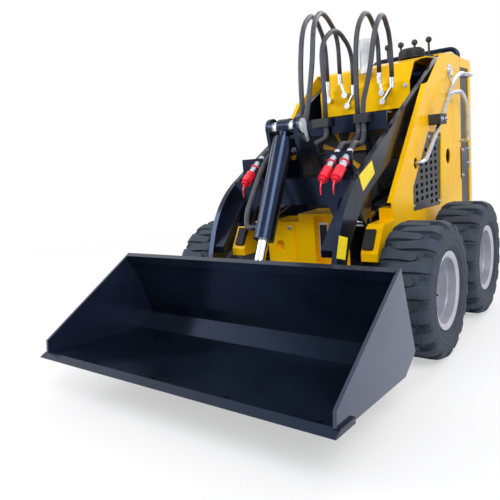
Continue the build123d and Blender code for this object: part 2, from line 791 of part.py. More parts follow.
# Chassis frame: belly, two long side plates, end plates, tower floors and tie down lugs
tank_rear_y = -60
frame_shoulder_z = 1169
end_plate_height = 250
bosses_reach = arm_inner_x - face_gap - frame_half_width
base_boss_reach = lift_x - lift_barrel_diameter / 2 - face_gap - frame_half_width
boom_boss_radius = 38
base_boss_radius = 26
lug_x = 150
lug_plate = 12
tie_down = (880, 172)
tie_down_radius = 12
tie_down_outline = ((frame_rear_y, belly_z), (905, belly_z), (905, 184), (893, 195), (frame_rear_y, 195))
with BuildPart() as chassis_frame:
    with BuildSketch(Plane.XY.offset(belly_z)):
        with Locations((0, (frame_front_y + frame_rear_y) / 2)):
            Rectangle(2 * frame_half_width, frame_rear_y - frame_front_y)
    extrude(amount=plate)
    for side_name, side in sides:
        with BuildSketch(Plane.YZ.offset(side * frame_half_width)):
            with BuildLine():
                Polyline(
                    (frame_front_y, belly_z),
                    (frame_rear_y, belly_z),
                    (frame_rear_y, frame_shoulder_z),
                    (500, frame_shoulder_z),
                    *panel_inner[1:],
                    (430, 700),
                    (-100, 540),
                    (frame_front_y, 500),
                    close=True,
                )
            make_face()
        extrude(amount=-side * plate)
        with BuildSketch(Plane.XY.offset(tower_floor_z)):
            with Locations((side * (frame_half_width + tower_inner_x) / 2, tower_front_y)):
                Rectangle(
                    tower_inner_x - frame_half_width,
                    frame_rear_y - tower_front_y,
                    align=(Align.CENTER, Align.MIN),
                )
        extrude(amount=plate)
        with BuildSketch(Plane.YZ.offset(side * lug_x)):
            with BuildLine():
                Polyline(*tie_down_outline, close=True)
            make_face()
            with Locations(tie_down):
                Circle(tie_down_radius, mode=Mode.SUBTRACT)
        extrude(amount=side * lug_plate)
    for end_y in (tank_rear_y + plate, frame_rear_y):
        with BuildSketch(Plane.XZ.offset(-end_y)):
            with Locations((0, belly_z)):
                Rectangle(2 * frame_half_width, end_plate_height, align=(Align.CENTER, Align.MIN))
        extrude(amount=plate)
    # Bosses and pin holes for the lift cylinders and the boom
    for side_name, side in sides:
        for origin, radius, reach in (
            (boom_pivot, boom_boss_radius, bosses_reach),
            (lift_base_pin, base_boss_radius, base_boss_reach),
        ):
            with BuildSketch(side_plane(side * frame_half_width, origin)):
                Circle(radius)
            extrude(amount=side * reach)
        for origin, radius in ((boom_pivot, boom_pin_diameter / 2), (lift_base_pin, lift_pin_diameter / 2)):
            with BuildSketch(side_plane(side * inner_plate_x, origin)):
                Circle(radius)
            extrude(amount=side * (plate + bosses_reach), mode=Mode.SUBTRACT)

chassis_frame.part.label = "chassis_frame"
export_step(chassis_frame.part, "parts/chassis_frame.step")

# Front tank: the orange housing behind the bucket, with the gauge's recess and an eyed cover
tank_top_z = 541
tank_step = 32
tank_step_x = -36
gauge_recess = (75, 430)
gauge_recess_size = (78, 204)
gauge_recess_depth = 24
tank_cover = (-190, -63)
tank_cover_z = (300, 498)
tank_cover_depth = 10
tank_eye = (-128, 407)
tank_eye_radii = (21, 24)
with BuildPart() as front_tank:
    with BuildSketch(Plane.XZ.offset(-tank_rear_y)):
        with BuildLine():
            Polyline(
                (-inner_plate_x, belly_z + plate),
                (inner_plate_x, belly_z + plate),
                (inner_plate_x, tank_top_z),
                (tank_step_x, tank_top_z),
                (tank_step_x, tank_top_z - tank_step),
                (-inner_plate_x, tank_top_z - tank_step),
                close=True,
            )
        make_face()
    extrude(amount=tank_rear_y - frame_front_y)
    with BuildSketch(Plane.XZ.offset(-frame_front_y)):
        with Locations(gauge_recess):
            Rectangle(*gauge_recess_size)
    extrude(amount=-gauge_recess_depth, mode=Mode.SUBTRACT)
    with BuildSketch(Plane.XZ.offset(-frame_front_y)):
        with Locations(((tank_cover[0] + tank_cover[1]) / 2, (tank_cover_z[0] + tank_cover_z[1]) / 2)):
            Rectangle(tank_cover[1] - tank_cover[0], tank_cover_z[1] - tank_cover_z[0])
    extrude(amount=tank_cover_depth)
    with BuildSketch(Plane.XZ.offset(-frame_front_y + tank_cover_depth)):
        with Locations(tank_eye):
            Ellipse(*tank_eye_radii)
    extrude(amount=-2 * tank_cover_depth, mode=Mode.SUBTRACT)

front_tank.part.label = "front_tank"
export_step(front_tank.part, "parts/front_tank.step")

# Towers: outer sheet with a folded front flange, a grille window and two round holes.
# Rows of the window are its corners, rows of the holes are Y, Z and radius.
flange_foot = (-138, 568)
flange_shoulder = (305, 1039)
flange_depth = 20
grille_window = ((100, 500), (488, 483), (510, 822), (322, 832), (104, 602))
window_corner = 14
tower_holes = ((147, 701, 25), (616, 707, 38))
tower_bottom_z = tyre_radius + hub_diameter / 2 + sheet
tower_cap_width = 34
cap_line = ((534, tower_cap_z - 21), (712, tower_cap_z), (frame_rear_y, tower_cap_z - 8))
flange_level_run = sheet / sin(radians(direction(flange_foot, flange_shoulder)))
for side_name, side in sides:
    with BuildPart() as tower:
        with BuildSketch(Plane.YZ.offset(side * tower_outer_x)):
            with BuildLine():
                Polyline(
                    (tower_front_y, tower_bottom_z),
                    (frame_rear_y, tower_bottom_z),
                    *reversed(cap_line),
                    (348, 1049),
                    flange_shoulder,
                    flange_foot,
                    (tower_front_y, flange_foot[1] - 9),
                    close=True,
                )
            make_face()
            with BuildLine():
                FilletPolyline(*grille_window, radius=window_corner, close=True)
            make_face(mode=Mode.SUBTRACT)
            for y, z, r in tower_holes:
                with Locations((y, z)):
                    Circle(r, mode=Mode.SUBTRACT)
            with Locations(boom_pivot):
                Circle(boom_pin_diameter / 2, mode=Mode.SUBTRACT)
        extrude(amount=-side * sheet)
        # Flange folded straight inwards along the sloping front edge, cut level at both ends
        with BuildSketch(Plane.YZ.offset(side * tower_outer_x)):
            with BuildLine():
                Polyline(
                    flange_foot,
                    flange_shoulder,
                    (flange_shoulder[0] + flange_level_run, flange_shoulder[1]),
                    (flange_foot[0] + flange_level_run, flange_foot[1]),
                    close=True,
                )
            make_face()
        extrude(amount=-side * flange_depth)
        # Cap along the top edge, folded inwards
        with BuildSketch(Plane.YZ.offset(side * (tower_outer_x - tower_cap_width))):
            with BuildLine():
                Polyline(*cap_line, *[(y, z - sheet) for y, z in reversed(cap_line)], close=True)
            make_face()
        extrude(amount=side * tower_cap_width)
    tower.part.label = "tower_" + side_name
    export_step(tower.part, "parts/tower_" + side_name + ".step")

# Side grilles: a perforated sheet behind each tower window, and a dark panel behind each tower.
# Columns are the Y of the slots, inside the window by a margin.
grille_sheet = 3
slot_size = (32, 17)
slot_columns = (168, 234, 300, 366, 432)
slot_first_z = 512
slot_pitch_z = 30
slot_rows = 10
slot_margin = 12
grille_lip = 12
bay_panel_front_y = 830
bay_panel_top_z = 1186


def slot_fits(y, z):
    """True where a slot lies inside the grille window by the margin."""
    corners = grille_window[::-1]
    for start, end in zip(corners, corners[1:] + corners[:1]):
        run_y = end[0] - start[0]
        run_z = end[1] - start[1]
        for corner_y in (y - slot_size[0] / 2, y + slot_size[0] / 2):
            for corner_z in (z - slot_size[1] / 2, z + slot_size[1] / 2):
                cross = run_y * (corner_z - start[1]) - run_z * (corner_y - start[0])
                if -cross / hypot(run_y, run_z) < slot_margin:
                    return False
    return True


slots = []
for y in slot_columns:
    for row in range(slot_rows):
        if slot_fits(y, slot_first_z + row * slot_pitch_z):
            slots.append((y, slot_first_z + row * slot_pitch_z))
with BuildPart() as side_grilles:
    for side_name, side in sides:
        with BuildSketch(Plane.YZ.offset(side * tower_inner_x)):
            with BuildLine():
                Polyline(*grille_window, close=True)
            make_face()
            offset(amount=grille_lip, kind=Kind.INTERSECTION)
            with Locations(*slots):
                Rectangle(*slot_size, mode=Mode.SUBTRACT)
        extrude(amount=-side * grille_sheet)
        with BuildSketch(Plane.YZ.offset(side * tower_inner_x)):
            with BuildLine():
                Polyline(
                    (bay_panel_front_y, bay_floor_z + sheet),
                    (hood_rear_y - sheet, bay_floor_z + sheet),
                    (hood_rear_y - sheet, bay_panel_top_z),
                    (bay_panel_front_y, bay_panel_top_z),
                    close=True,
                )
            make_face()
        extrude(amount=-side * sheet)

side_grilles.part.label = "side_grilles"
export_step(side_grilles.part, "parts/side_grilles.step")

# Rear side plates, bolted over the joint between tower and engine bay
rear_plate_outline = ((836, 741), (999, 741), (999, 640), (940, 578), (836, 578))
rear_plate_sheet = 4
with BuildPart() as rear_side_plates:
    for side_name, side in sides:
        with BuildSketch(Plane.YZ.offset(side * tower_outer_x)):
            with BuildLine():
                Polyline(*rear_plate_outline, close=True)
            make_face()
        extrude(amount=side * rear_plate_sheet)

rear_side_plates.part.label = "rear_side_plates"
export_step(rear_side_plates.part, "parts/rear_side_plates.step")

# Boom pins through tower and frame with teardrop lock plates, and the cylinder base pins,
# which are fixed in the frame and end behind the tower's sheet
pin_inside = 10
boom_pin_proud = 12
tear_radius = 32
tear_tail = (30, -52)
tear_tail_radius = 12
tear_plate = 5
with BuildPart() as boom_pins:
    for side_name, side in sides:
        with BuildSketch(side_plane(side * (inner_plate_x - pin_inside), boom_pivot)):
            Circle(boom_pin_diameter / 2)
        extrude(amount=side * (tower_outer_x - inner_plate_x + pin_inside + boom_pin_proud))
        with BuildSketch(side_plane(side * tower_outer_x, boom_pivot)):
            Circle(tear_radius)
            with Locations(tear_tail):
                Circle(tear_tail_radius)
            make_hull()
        extrude(amount=side * tear_plate)
        with BuildSketch(side_plane(side * (inner_plate_x - pin_inside), lift_base_pin)):
            Circle(lift_pin_diameter / 2)
        extrude(amount=side * (tower_inner_x - inner_plate_x + pin_inside))

boom_pins.part.label = "boom_pins"
export_step(boom_pins.part, "parts/boom_pins.step")

# Arm stops: welded boxes in front of the towers, each with a taller block behind and a rubber pad
stop_x = 274
stop_width = 66
stop_foot = (-318, 402)
stop_crest = (-262, 488)
stop_bottom_z = 371
stop_top_z = 500
stop_outline = (
    stop_foot,
    stop_crest,
    (-240, stop_top_z),
    (tower_front_y, stop_top_z),
    (tower_front_y, stop_bottom_z),
    (stop_foot[0], stop_bottom_z),
)
stop_block_depth = 70
stop_block_top_z = 546
with BuildPart() as arm_stops:
    for side_name, side in sides:
        with BuildSketch(Plane.YZ.offset(side * stop_x)):
            with BuildLine():
                Polyline(*stop_outline, close=True)
            make_face()
        extrude(amount=side * stop_width)
        with BuildSketch(Plane.YZ.offset(side * stop_x)):
            with Locations((tower_front_y, stop_bottom_z)):
                Rectangle(stop_block_depth, stop_block_top_z - stop_bottom_z, align=(Align.MIN, Align.MIN))
        extrude(amount=side * (tower_inner_x - stop_x))

arm_stops.part.label = "arm_stops"
export_step(arm_stops.part, "parts/arm_stops.step")

stop_angle = direction(stop_foot, stop_crest)
pad_start = 14
pad_length = 78
pad_thickness = 16
pad_x = 280
pad_width = 40
with BuildPart() as stop_pads:
    for side_name, side in sides:
        with BuildSketch(Plane.YZ.offset(side * pad_x)):
            with BuildLine():
                Polyline(
                    above(stop_foot, pad_start, 0, stop_angle),
                    above(stop_foot, pad_start + pad_length, 0, stop_angle),
                    above(stop_foot, pad_start + pad_length, pad_thickness, stop_angle),
                    above(stop_foot, pad_start, pad_thickness, stop_angle),
                    close=True,
                )
            make_face()
        extrude(amount=side * pad_width)

stop_pads.part.label = "stop_pads"
export_step(stop_pads.part, "parts/stop_pads.step")

# Wheel motors: the housings bolted to the frame and the hubs that carry the wheels
rim_disc_x = 0
rim_disc = 8
motor_radius = 70
motor_length = 60
hub_proud = 12
hub_end_x = wheel_centre_x + rim_disc_x + rim_disc + hub_proud
with BuildPart() as wheel_motors:
    for axle_y in (front_axle_y, front_axle_y + wheelbase):
        for side_name, side in sides:
            with BuildSketch(side_plane(side * frame_half_width, (axle_y, tyre_radius))):
                Circle(motor_radius)
            extrude(amount=side * motor_length)
            with BuildSketch(side_plane(side * (frame_half_width + motor_length), (axle_y, tyre_radius))):
                Circle(hub_diameter / 2)
            extrude(amount=side * (hub_end_x - frame_half_width - motor_length))

wheel_motors.part.label = "wheel_motors"
export_step(wheel_motors.part, "parts/wheel_motors.step")

# Wheels: a tyre and a rim at each corner, as name, sign of X and Y of the axle
wheel_places = (
    ("front_left", 1, front_axle_y),
    ("front_right", -1, front_axle_y),
    ("rear_left", 1, front_axle_y + wheelbase),
    ("rear_right", -1, front_axle_y + wheelbase),
)
seat_radius = rim_seat_diameter / 2
flange_radius = rim_flange_diameter / 2
bead_slope = 6
bead_top_radius = flange_radius + 2
sidewall_radius = flange_radius + 44
lip_radius = flange_radius - 1
lip_slope = bead_slope * (lip_radius - seat_radius) / (bead_top_radius - seat_radius)
lip_width = 6
ledge_x = 42
ledge_width = 6
ledge_height = 9
for place, side, axle_y in wheel_places:
    spin_plane = Plane(
        origin=(side * wheel_centre_x, axle_y, tyre_radius), x_dir=(side, 0, 0), z_dir=(0, -side, 0)
    )
    spin_axis = Axis((side * wheel_centre_x, axle_y, tyre_radius), (1, 0, 0))
    with BuildPart() as tyre:
        with BuildSketch(spin_plane):
            with BuildLine():
                FilletPolyline(
                    (-rim_width / 2, seat_radius),
                    (rim_width / 2, seat_radius),
                    (rim_width / 2 + bead_slope, bead_top_radius),
                    (tyre_width / 2, sidewall_radius),
                    (tyre_width / 2, tyre_radius - tyre_shoulder_drop),
                    (tyre_width / 2 - tyre_shoulder_width, tyre_radius),
                    (-tyre_width / 2 + tyre_shoulder_width, tyre_radius),
                    (-tyre_width / 2, tyre_radius - tyre_shoulder_drop),
                    (-tyre_width / 2, sidewall_radius),
                    (-rim_width / 2 - bead_slope, bead_top_radius),
                    radius=[0, 0, 6, 20, 12, 12, 12, 12, 20, 6],
                    close=True,
                )
            make_face()
        revolve(axis=spin_axis)
    tyre.part.label = "tyre_" + place
    export_step(tyre.part, "parts/tyre_" + place + ".step")

    with BuildPart() as rim:
        with BuildSketch(spin_plane):
            with BuildLine():
                Polyline(
                    (-rim_width / 2, seat_radius),
                    (rim_width / 2, seat_radius),
                    (rim_width / 2 + lip_slope, lip_radius),
                    (rim_width / 2 + lip_slope + lip_width, lip_radius),
                    (rim_width / 2 + lip_slope + lip_width, lip_radius - lip_width),
                    (rim_width / 2 + rim_wall, seat_radius - rim_wall),
                    (ledge_x + ledge_width, seat_radius - rim_wall),
                    (ledge_x + ledge_width, seat_radius - rim_wall - ledge_height),
                    (rim_disc_x + rim_disc, seat_radius - rim_wall - ledge_height - 2),
                    (rim_disc_x + rim_disc, hub_diameter / 2 + hub_gap),
                    (rim_disc_x, hub_diameter / 2 + hub_gap),
                    (rim_disc_x, seat_radius - rim_wall - ledge_height),
                    (rim_disc_x - ledge_height, seat_radius - rim_wall),
                    (-rim_width / 2 - rim_wall, seat_radius - rim_wall),
                    (-rim_width / 2 - lip_slope - lip_width, lip_radius - lip_width),
                    (-rim_width / 2 - lip_slope - lip_width, lip_radius),
                    (-rim_width / 2 - lip_slope, lip_radius),
                    close=True,
                )
            make_face()
        revolve(axis=spin_axis)
    rim.part.label = "rim_" + place
    export_step(rim.part, "parts/rim_" + place + ".step")

# Hose fittings on the front panel: nut, elbow and ferrule.
# Rows are X and Z of the nut, then X and Z of the ferrule's foot.
panel_fittings = (
    (-170, 1033, -172, 1085),
    (-81, 1046, -103, 1110),
    (-70, 994, -34, 1050),
    (112, 992, 160, 1055),
    (110, 1031, 100, 1085),
)
fitting_nut_radius = 14
fitting_reach = 38
elbow_radius = 8
ferrule_y = panel_y - 28
ferrule_length = 38
with BuildPart() as hose_fittings:
    for nut_x, nut_z, top_x, top_z in panel_fittings:
        with BuildSketch(Plane.XZ.offset(-panel_y)):
            with Locations((nut_x, nut_z)):
                Circle(fitting_nut_radius)
        extrude(amount=fitting_reach)
        elbow_length = hypot(top_x - nut_x, top_z - nut_z)
        elbow = Plane(
            origin=(nut_x, ferrule_y, nut_z), x_dir=(0, 1, 0), z_dir=(top_x - nut_x, 0, top_z - nut_z)
        )
        with BuildSketch(elbow):
            Circle(elbow_radius)
        extrude(amount=elbow_length)
        with BuildSketch(Plane.XY.offset(top_z - elbow_radius)):
            with Locations((top_x, ferrule_y)):
                Circle(ferrule_radius)
        extrude(amount=ferrule_length + elbow_radius)

hose_fittings.part.label = "hose_fittings"
export_step(hose_fittings.part, "parts/hose_fittings.step")

# Boom hoses: five loops from the panel over to the boom, long enough for the boom at its top
boom_routes = (
    (
        "tilt lower",
        (
            (panel_fittings[0][2], ferrule_y, panel_fittings[0][3] + ferrule_length),
            (panel_fittings[0][2], ferrule_y, 1310),
            (-95, 110, 1400),
            (-25, -120, 1290),
            (tilt_clamp[0], tilt_clamp[1], 1090),
            (tilt_clamp[0], tilt_clamp[1], tilt_clamp_low_z),
        ),
    ),
    (
        "tilt upper",
        (
            (panel_fittings[1][2], ferrule_y, panel_fittings[1][3] + ferrule_length),
            (panel_fittings[1][2], ferrule_y, 1330),
            (-50, 110, 1400),
            (22, -110, 1300),
            (48, -188, 1120),
            (34, -225, 950),
            (0, -258, upper_port_end[1]),
            (0, upper_port_end[0], upper_port_end[1]),
        ),
    ),
    (
        "right coupler",
        (
            (panel_fittings[2][2], ferrule_y, panel_fittings[2][3] + ferrule_length),
            (panel_fittings[2][2], ferrule_y, 1250),
            (-20, 170, 1330),
            (-14, 10, 1240),
            (clamp_xs[0], clamp_hose_y, 1080),
            (clamp_xs[0], clamp_hose_y, clamp_low_z),
        ),
    ),
    (
        "left coupler outer",
        (
            (panel_fittings[3][2], ferrule_y, panel_fittings[3][3] + ferrule_length),
            (panel_fittings[3][2], ferrule_y, 1270),
            (205, 160, 1345),
            (228, 12, 1250),
            (212, -12, 1090),
            (clamp_xs[2], clamp_hose_y, 966),
            (clamp_xs[2], clamp_hose_y, clamp_low_z),
        ),
    ),
    (
        "left coupler inner",
        (
            (panel_fittings[4][2], ferrule_y, panel_fittings[4][3] + ferrule_length),
            (panel_fittings[4][2], ferrule_y, 1290),
            (135, 160, 1370),
            (152, 10, 1270),
            (clamp_xs[1], clamp_hose_y, 1090),
            (clamp_xs[1], clamp_hose_y, clamp_low_z),
        ),
    ),
)
with BuildPart() as boom_hoses:
    for route_name, route in boom_routes:
        run_along(route, hose_radius)

boom_hoses.part.label = "boom_hoses"
export_step(boom_hoses.part, "parts/boom_hoses.step")
report_runs("boom_hoses", boom_routes, hose_radius, boom_hoses.part.volume)

# Steel tubes on the towers: the long tube down into the front hole, and the short loop behind it
tube_x = 368
tube_end_x = 298
tube_routes = (
    (
        "long",
        (
            (tower_inner_x, 930, 1107),
            (tube_x, 930, 1107),
            (tube_x, 638, 1102),
            (tube_x, 393, 880),
            (tube_x, 150, 703),
            (tube_end_x, 147, 701),
        ),
    ),
    (
        "loop",
        (
            (tower_outer_x, 600, 1005),
            (tube_x, 600, 1005),
            (tube_x, 740, 1018),
            (tube_x, 830, 960),
            (tube_x, 832, 775),
            (tower_outer_x, 832, 775),
        ),
    ),
)
with BuildPart() as steel_tubes:
    for side_name, side in sides:
        for route_name, route in tube_routes:
            run_along([(side * x, y, z) for x, y, z in route], tube_radius)

steel_tubes.part.label = "steel_tubes"
export_step(steel_tubes.part, "parts/steel_tubes.step")
report_runs("steel_tubes", tube_routes + tube_routes, tube_radius, steel_tubes.part.volume)

# Tube clamps: plastic blocks on the towers, bored for the long tube
tube_clamp_centre = (372, 881)
tube_clamp_size = (92, 46)
tube_clamp_reach = 54
with BuildPart() as tube_clamps:
    for side_name, side in sides:
        with BuildSketch(Plane.YZ.offset(side * tower_outer_x)):
            with Locations(tube_clamp_centre):
                RectangleRounded(*tube_clamp_size, 6)
        extrude(amount=side * tube_clamp_reach)
        run_along([(side * x, y, z) for x, y, z in tube_routes[0][1]], tube_radius, mode=Mode.SUBTRACT)

tube_clamps.part.label = "tube_clamps"
export_step(tube_clamps.part, "parts/tube_clamps.step")

# Engine: one plain block at its real place
engine_y = 620
engine_size = (300, 380, 560)
with BuildPart() as engine_block:
    with Locations((0, engine_y, belly_z + plate)):
        Box(*engine_size, align=(Align.CENTER, Align.CENTER, Align.MIN))

engine_block.part.label = "engine_block"
export_step(engine_block.part, "parts/engine_block.step")

# Cooler behind the fan guard, on the frame between the side plates
cooler_front_y = 104
cooler_depth = 56
cooler_top_z = 905
cooler_foot_top_z = 558
cooler_inset = 20
with BuildPart() as oil_cooler:
    with Locations((0, cooler_front_y, belly_z + plate)):
        Box(
            2 * (inner_plate_x - cooler_inset),
            cooler_depth,
            cooler_top_z - belly_z - plate,
            align=(Align.CENTER, Align.MIN, Align.MIN),
        )
    with Locations((0, cooler_front_y, belly_z + plate)):
        Box(
            2 * inner_plate_x,
            cooler_depth,
            cooler_foot_top_z - belly_z - plate,
            align=(Align.CENTER, Align.MIN, Align.MIN),
        )

oil_cooler.part.label = "oil_cooler"
export_step(oil_cooler.part, "parts/oil_cooler.step")

# Fan guard: flat rings and spokes on a deep outer ring
fan_centre = (18, 774)
guard_front_y = 92
guard_wire = 4
guard_rings = (24, 48, 72, 96, 118)
guard_ring_width = 5
guard_outer = (126, 134)
guard_spokes = 4
with BuildPart() as fan_guard:
    with BuildSketch(Plane.XZ.offset(-guard_front_y - guard_wire)):
        for ring in guard_rings:
            with Locations(fan_centre):
                Circle(ring + guard_ring_width / 2)
                Circle(ring - guard_ring_width / 2, mode=Mode.SUBTRACT)
        with Locations(fan_centre):
            with PolarLocations(0, guard_spokes):
                Rectangle(2 * guard_outer[0] + 2, guard_ring_width)
    extrude(amount=guard_wire)
    with BuildSketch(Plane.XZ.offset(-cooler_front_y)):
        with Locations(fan_centre):
            Circle(guard_outer[1])
            Circle(guard_outer[0], mode=Mode.SUBTRACT)
    extrude(amount=cooler_front_y - guard_front_y)

fan_guard.part.label = "fan_guard"
export_step(fan_guard.part, "parts/fan_guard.step")

# Engine hood: roof sheet in three widths, stiffening flanges, side lips, rear wall and bay floor.
# Rows are the start and end in Y with the half width.
hood_widths = (
    (hood_front[0], 740, arm_inner_x - 12),
    (740, frame_rear_y + 6, tower_outer_x - tower_cap_width - 2),
    (frame_rear_y + 6, hood_rear_y, tower_outer_x),
)
hood_flange_z = 1148
lip_z = 1150
post_y = 1015


def roof_z(y):
    """Height of the roof's outer face at Y."""
    start, end = (hood_front, hood_crest) if y < hood_crest[0] else (hood_crest, (hood_rear_y, hood_rear_z))
    return start[1] + (y - start[0]) * (end[1] - start[1]) / (end[0] - start[0])


with BuildPart() as engine_hood:
    for start_y, end_y, half_width in hood_widths:
        ridge = [(start_y, roof_z(start_y))]
        if start_y < hood_crest[0] < end_y:
            ridge.append(hood_crest)
        ridge.append((end_y, roof_z(end_y)))
        with BuildSketch(Plane.YZ.offset(-half_width)):
            with BuildLine():
                Polyline(*ridge, *[(y, z - sheet) for y, z in reversed(ridge)], close=True)
            make_face()
        extrude(amount=2 * half_width)
    for side_name, side in sides:
        with BuildSketch(Plane.YZ.offset(side * inner_plate_x)):
            with BuildLine():
                Polyline(
                    (hood_front[0] + 10, hood_flange_z),
                    (frame_rear_y, hood_flange_z),
                    (frame_rear_y, roof_z(frame_rear_y) - sheet),
                    (hood_crest[0], hood_crest[1] - sheet),
                    (hood_front[0] + 10, roof_z(hood_front[0] + 10) - sheet),
                    close=True,
                )
            make_face()
        extrude(amount=-side * sheet)
        with BuildSketch(Plane.YZ.offset(side * tower_outer_x)):
            with BuildLine():
                Polyline(
                    (frame_rear_y + 6, lip_z),
                    (post_y, lip_z),
                    (post_y, bay_floor_z),
                    (hood_rear_y, bay_floor_z),
                    (hood_rear_y, hood_rear_z),
                    (frame_rear_y + 6, roof_z(frame_rear_y + 6)),
                    close=True,
                )
            make_face()
        extrude(amount=-side * sheet)
    with BuildSketch(Plane.XZ.offset(-hood_rear_y)):
        with Locations((0, bay_floor_z)):
            Rectangle(2 * tower_outer_x, hood_rear_z - bay_floor_z, align=(Align.CENTER, Align.MIN))
    extrude(amount=sheet)
    with BuildSketch(Plane.XY.offset(bay_floor_z)):
        with Locations((0, frame_rear_y)):
            Rectangle(2 * tower_inner_x, hood_rear_y - frame_rear_y, align=(Align.CENTER, Align.MIN))
    extrude(amount=sheet)

engine_hood.part.label = "engine_hood"
export_step(engine_hood.part, "parts/engine_hood.step")

# Ribbed cap of the air intake on the hood
intake_x = 152
intake_y = 650
intake_neck_radius = 30
intake_base_z = 1204
intake_top_z = 1250
intake_ribs = 5
intake_rib_radius = 67
intake_core_radius = 60
intake_crown_radius = 50
rib_pitch = (intake_top_z - 8 - intake_base_z) / intake_ribs
neck_front_y = intake_y - intake_neck_radius
neck_rear_y = intake_y + intake_neck_radius
neck_foot_z = roof_z(neck_front_y) - sheet
with BuildPart() as air_intake:
    with BuildSketch(Plane.XY.offset(neck_foot_z)):
        with Locations((intake_x, intake_y)):
            Circle(intake_neck_radius)
    extrude(amount=intake_base_z - neck_foot_z)
    # The neck's foot follows the roof's slope
    with BuildSketch(Plane.YZ.offset(intake_x - intake_neck_radius)):
        with BuildLine():
            Polyline(
                (neck_front_y, roof_z(neck_front_y)),
                (neck_rear_y, roof_z(neck_rear_y)),
                (neck_rear_y, neck_foot_z),
                (neck_front_y, neck_foot_z),
                close=True,
            )
        make_face()
    extrude(amount=2 * intake_neck_radius, mode=Mode.SUBTRACT)
    with BuildSketch(Plane.XY.offset(intake_base_z)):
        with Locations((intake_x, intake_y)):
            Circle(intake_core_radius)
    extrude(amount=intake_ribs * rib_pitch)
    for rib in range(intake_ribs):
        with BuildSketch(Plane.XY.offset(intake_base_z + rib * rib_pitch)):
            with Locations((intake_x, intake_y)):
                Circle(intake_rib_radius - rib)
        extrude(amount=rib_pitch / 2)
    with BuildSketch(Plane.XY.offset(intake_base_z + intake_ribs * rib_pitch)):
        with Locations((intake_x, intake_y)):
            Circle(intake_crown_radius)
    extrude(amount=8)

air_intake.part.label = "air_intake"
export_step(air_intake.part, "parts/air_intake.step")

# Oil filter: a canister on a black head, standing on the panel's slope
filter_x = 18
filter_y = 415
filter_head_z = 1136
filter_can_z = 1152
filter_top_z = 1292
filter_radius = 29
filter_head_radius = 34
filter_neck_radius = 14
filter_can_y = filter_y - 22
filter_neck_foot_z = 1060
with BuildPart() as oil_filter:
    with BuildSketch(Plane.XY.offset(filter_neck_foot_z)):
        with Locations((filter_x, filter_y)):
            Circle(filter_neck_radius)
    extrude(amount=filter_head_z - filter_neck_foot_z)
    # The neck's foot follows the panel's slope
    with BuildSketch(Plane.YZ.offset(filter_x - filter_neck_radius)):
        with BuildLine():
            Polyline(
                panel_outer[1],
                panel_outer[2],
                (panel_outer[2][0], filter_neck_foot_z),
                (panel_y, filter_neck_foot_z),
                close=True,
            )
        make_face()
    extrude(amount=2 * filter_neck_radius, mode=Mode.SUBTRACT)
    with BuildSketch(Plane.XY.offset(filter_head_z)):
        with Locations((filter_x, filter_can_y)):
            Circle(filter_head_radius)
    extrude(amount=filter_can_z - filter_head_z)
    with BuildSketch(Plane.XY.offset(filter_can_z)):
        with Locations((filter_x, filter_can_y)):
            Circle(filter_radius)
    extrude(amount=filter_top_z - filter_can_z)

oil_filter.part.label = "oil_filter"
export_step(oil_filter.part, "parts/oil_filter.step")

# Control console on the hood's rear end, with four levers and their knobs
console_front_y = 950
console_half_width = 200
console_crest = (1000, 1262)
console_rear_z = 1240
lever_xs = (-120, -40, 40, 120)
lever_y = 1025
lever_top_z = 1345
lever_radius = 6
knob_radius = 17
with BuildPart() as control_console:
    with BuildSketch(Plane.YZ.offset(-console_half_width)):
        with BuildLine():
            Polyline(
                (console_front_y, roof_z(console_front_y)),
                console_crest,
                (hood_rear_y, console_rear_z),
                (hood_rear_y, hood_rear_z),
                close=True,
            )
        make_face()
    extrude(amount=2 * console_half_width)
    for lever_x in lever_xs:
        with BuildSketch(Plane.XY.offset(console_rear_z)):
            with Locations((lever_x, lever_y)):
                Circle(lever_radius)
        extrude(amount=lever_top_z - console_rear_z)
        with Locations((lever_x, lever_y, lever_top_z)):
            Sphere(knob_radius)

control_console.part.label = "control_console"
export_step(control_console.part, "parts/control_console.step")

# Grab rail: a bent tube on the rear wall that the driver holds
rail_half_width = 250
rail_low_z = 1010
rail_high_z = 1285
rail_y = 1112
rail_radius = 14
rail_bend = 45
with BuildPart() as grab_rail:
    with BuildLine() as rail_line:
        FilletPolyline(
            (-rail_half_width, hood_rear_y, rail_low_z),
            (-rail_half_width, rail_y, rail_low_z),
            (-rail_half_width, rail_y, rail_high_z),
            (rail_half_width, rail_y, rail_high_z),
            (rail_half_width, rail_y, rail_low_z),
            (rail_half_width, hood_rear_y, rail_low_z),
            radius=rail_bend,
        )
    with BuildSketch(Plane(origin=rail_line.wire() @ 0, z_dir=rail_line.wire() % 0)):
        Circle(rail_radius)
    sweep(path=rail_line.wire())

grab_rail.part.label = "grab_rail"
export_step(grab_rail.part, "parts/grab_rail.step")

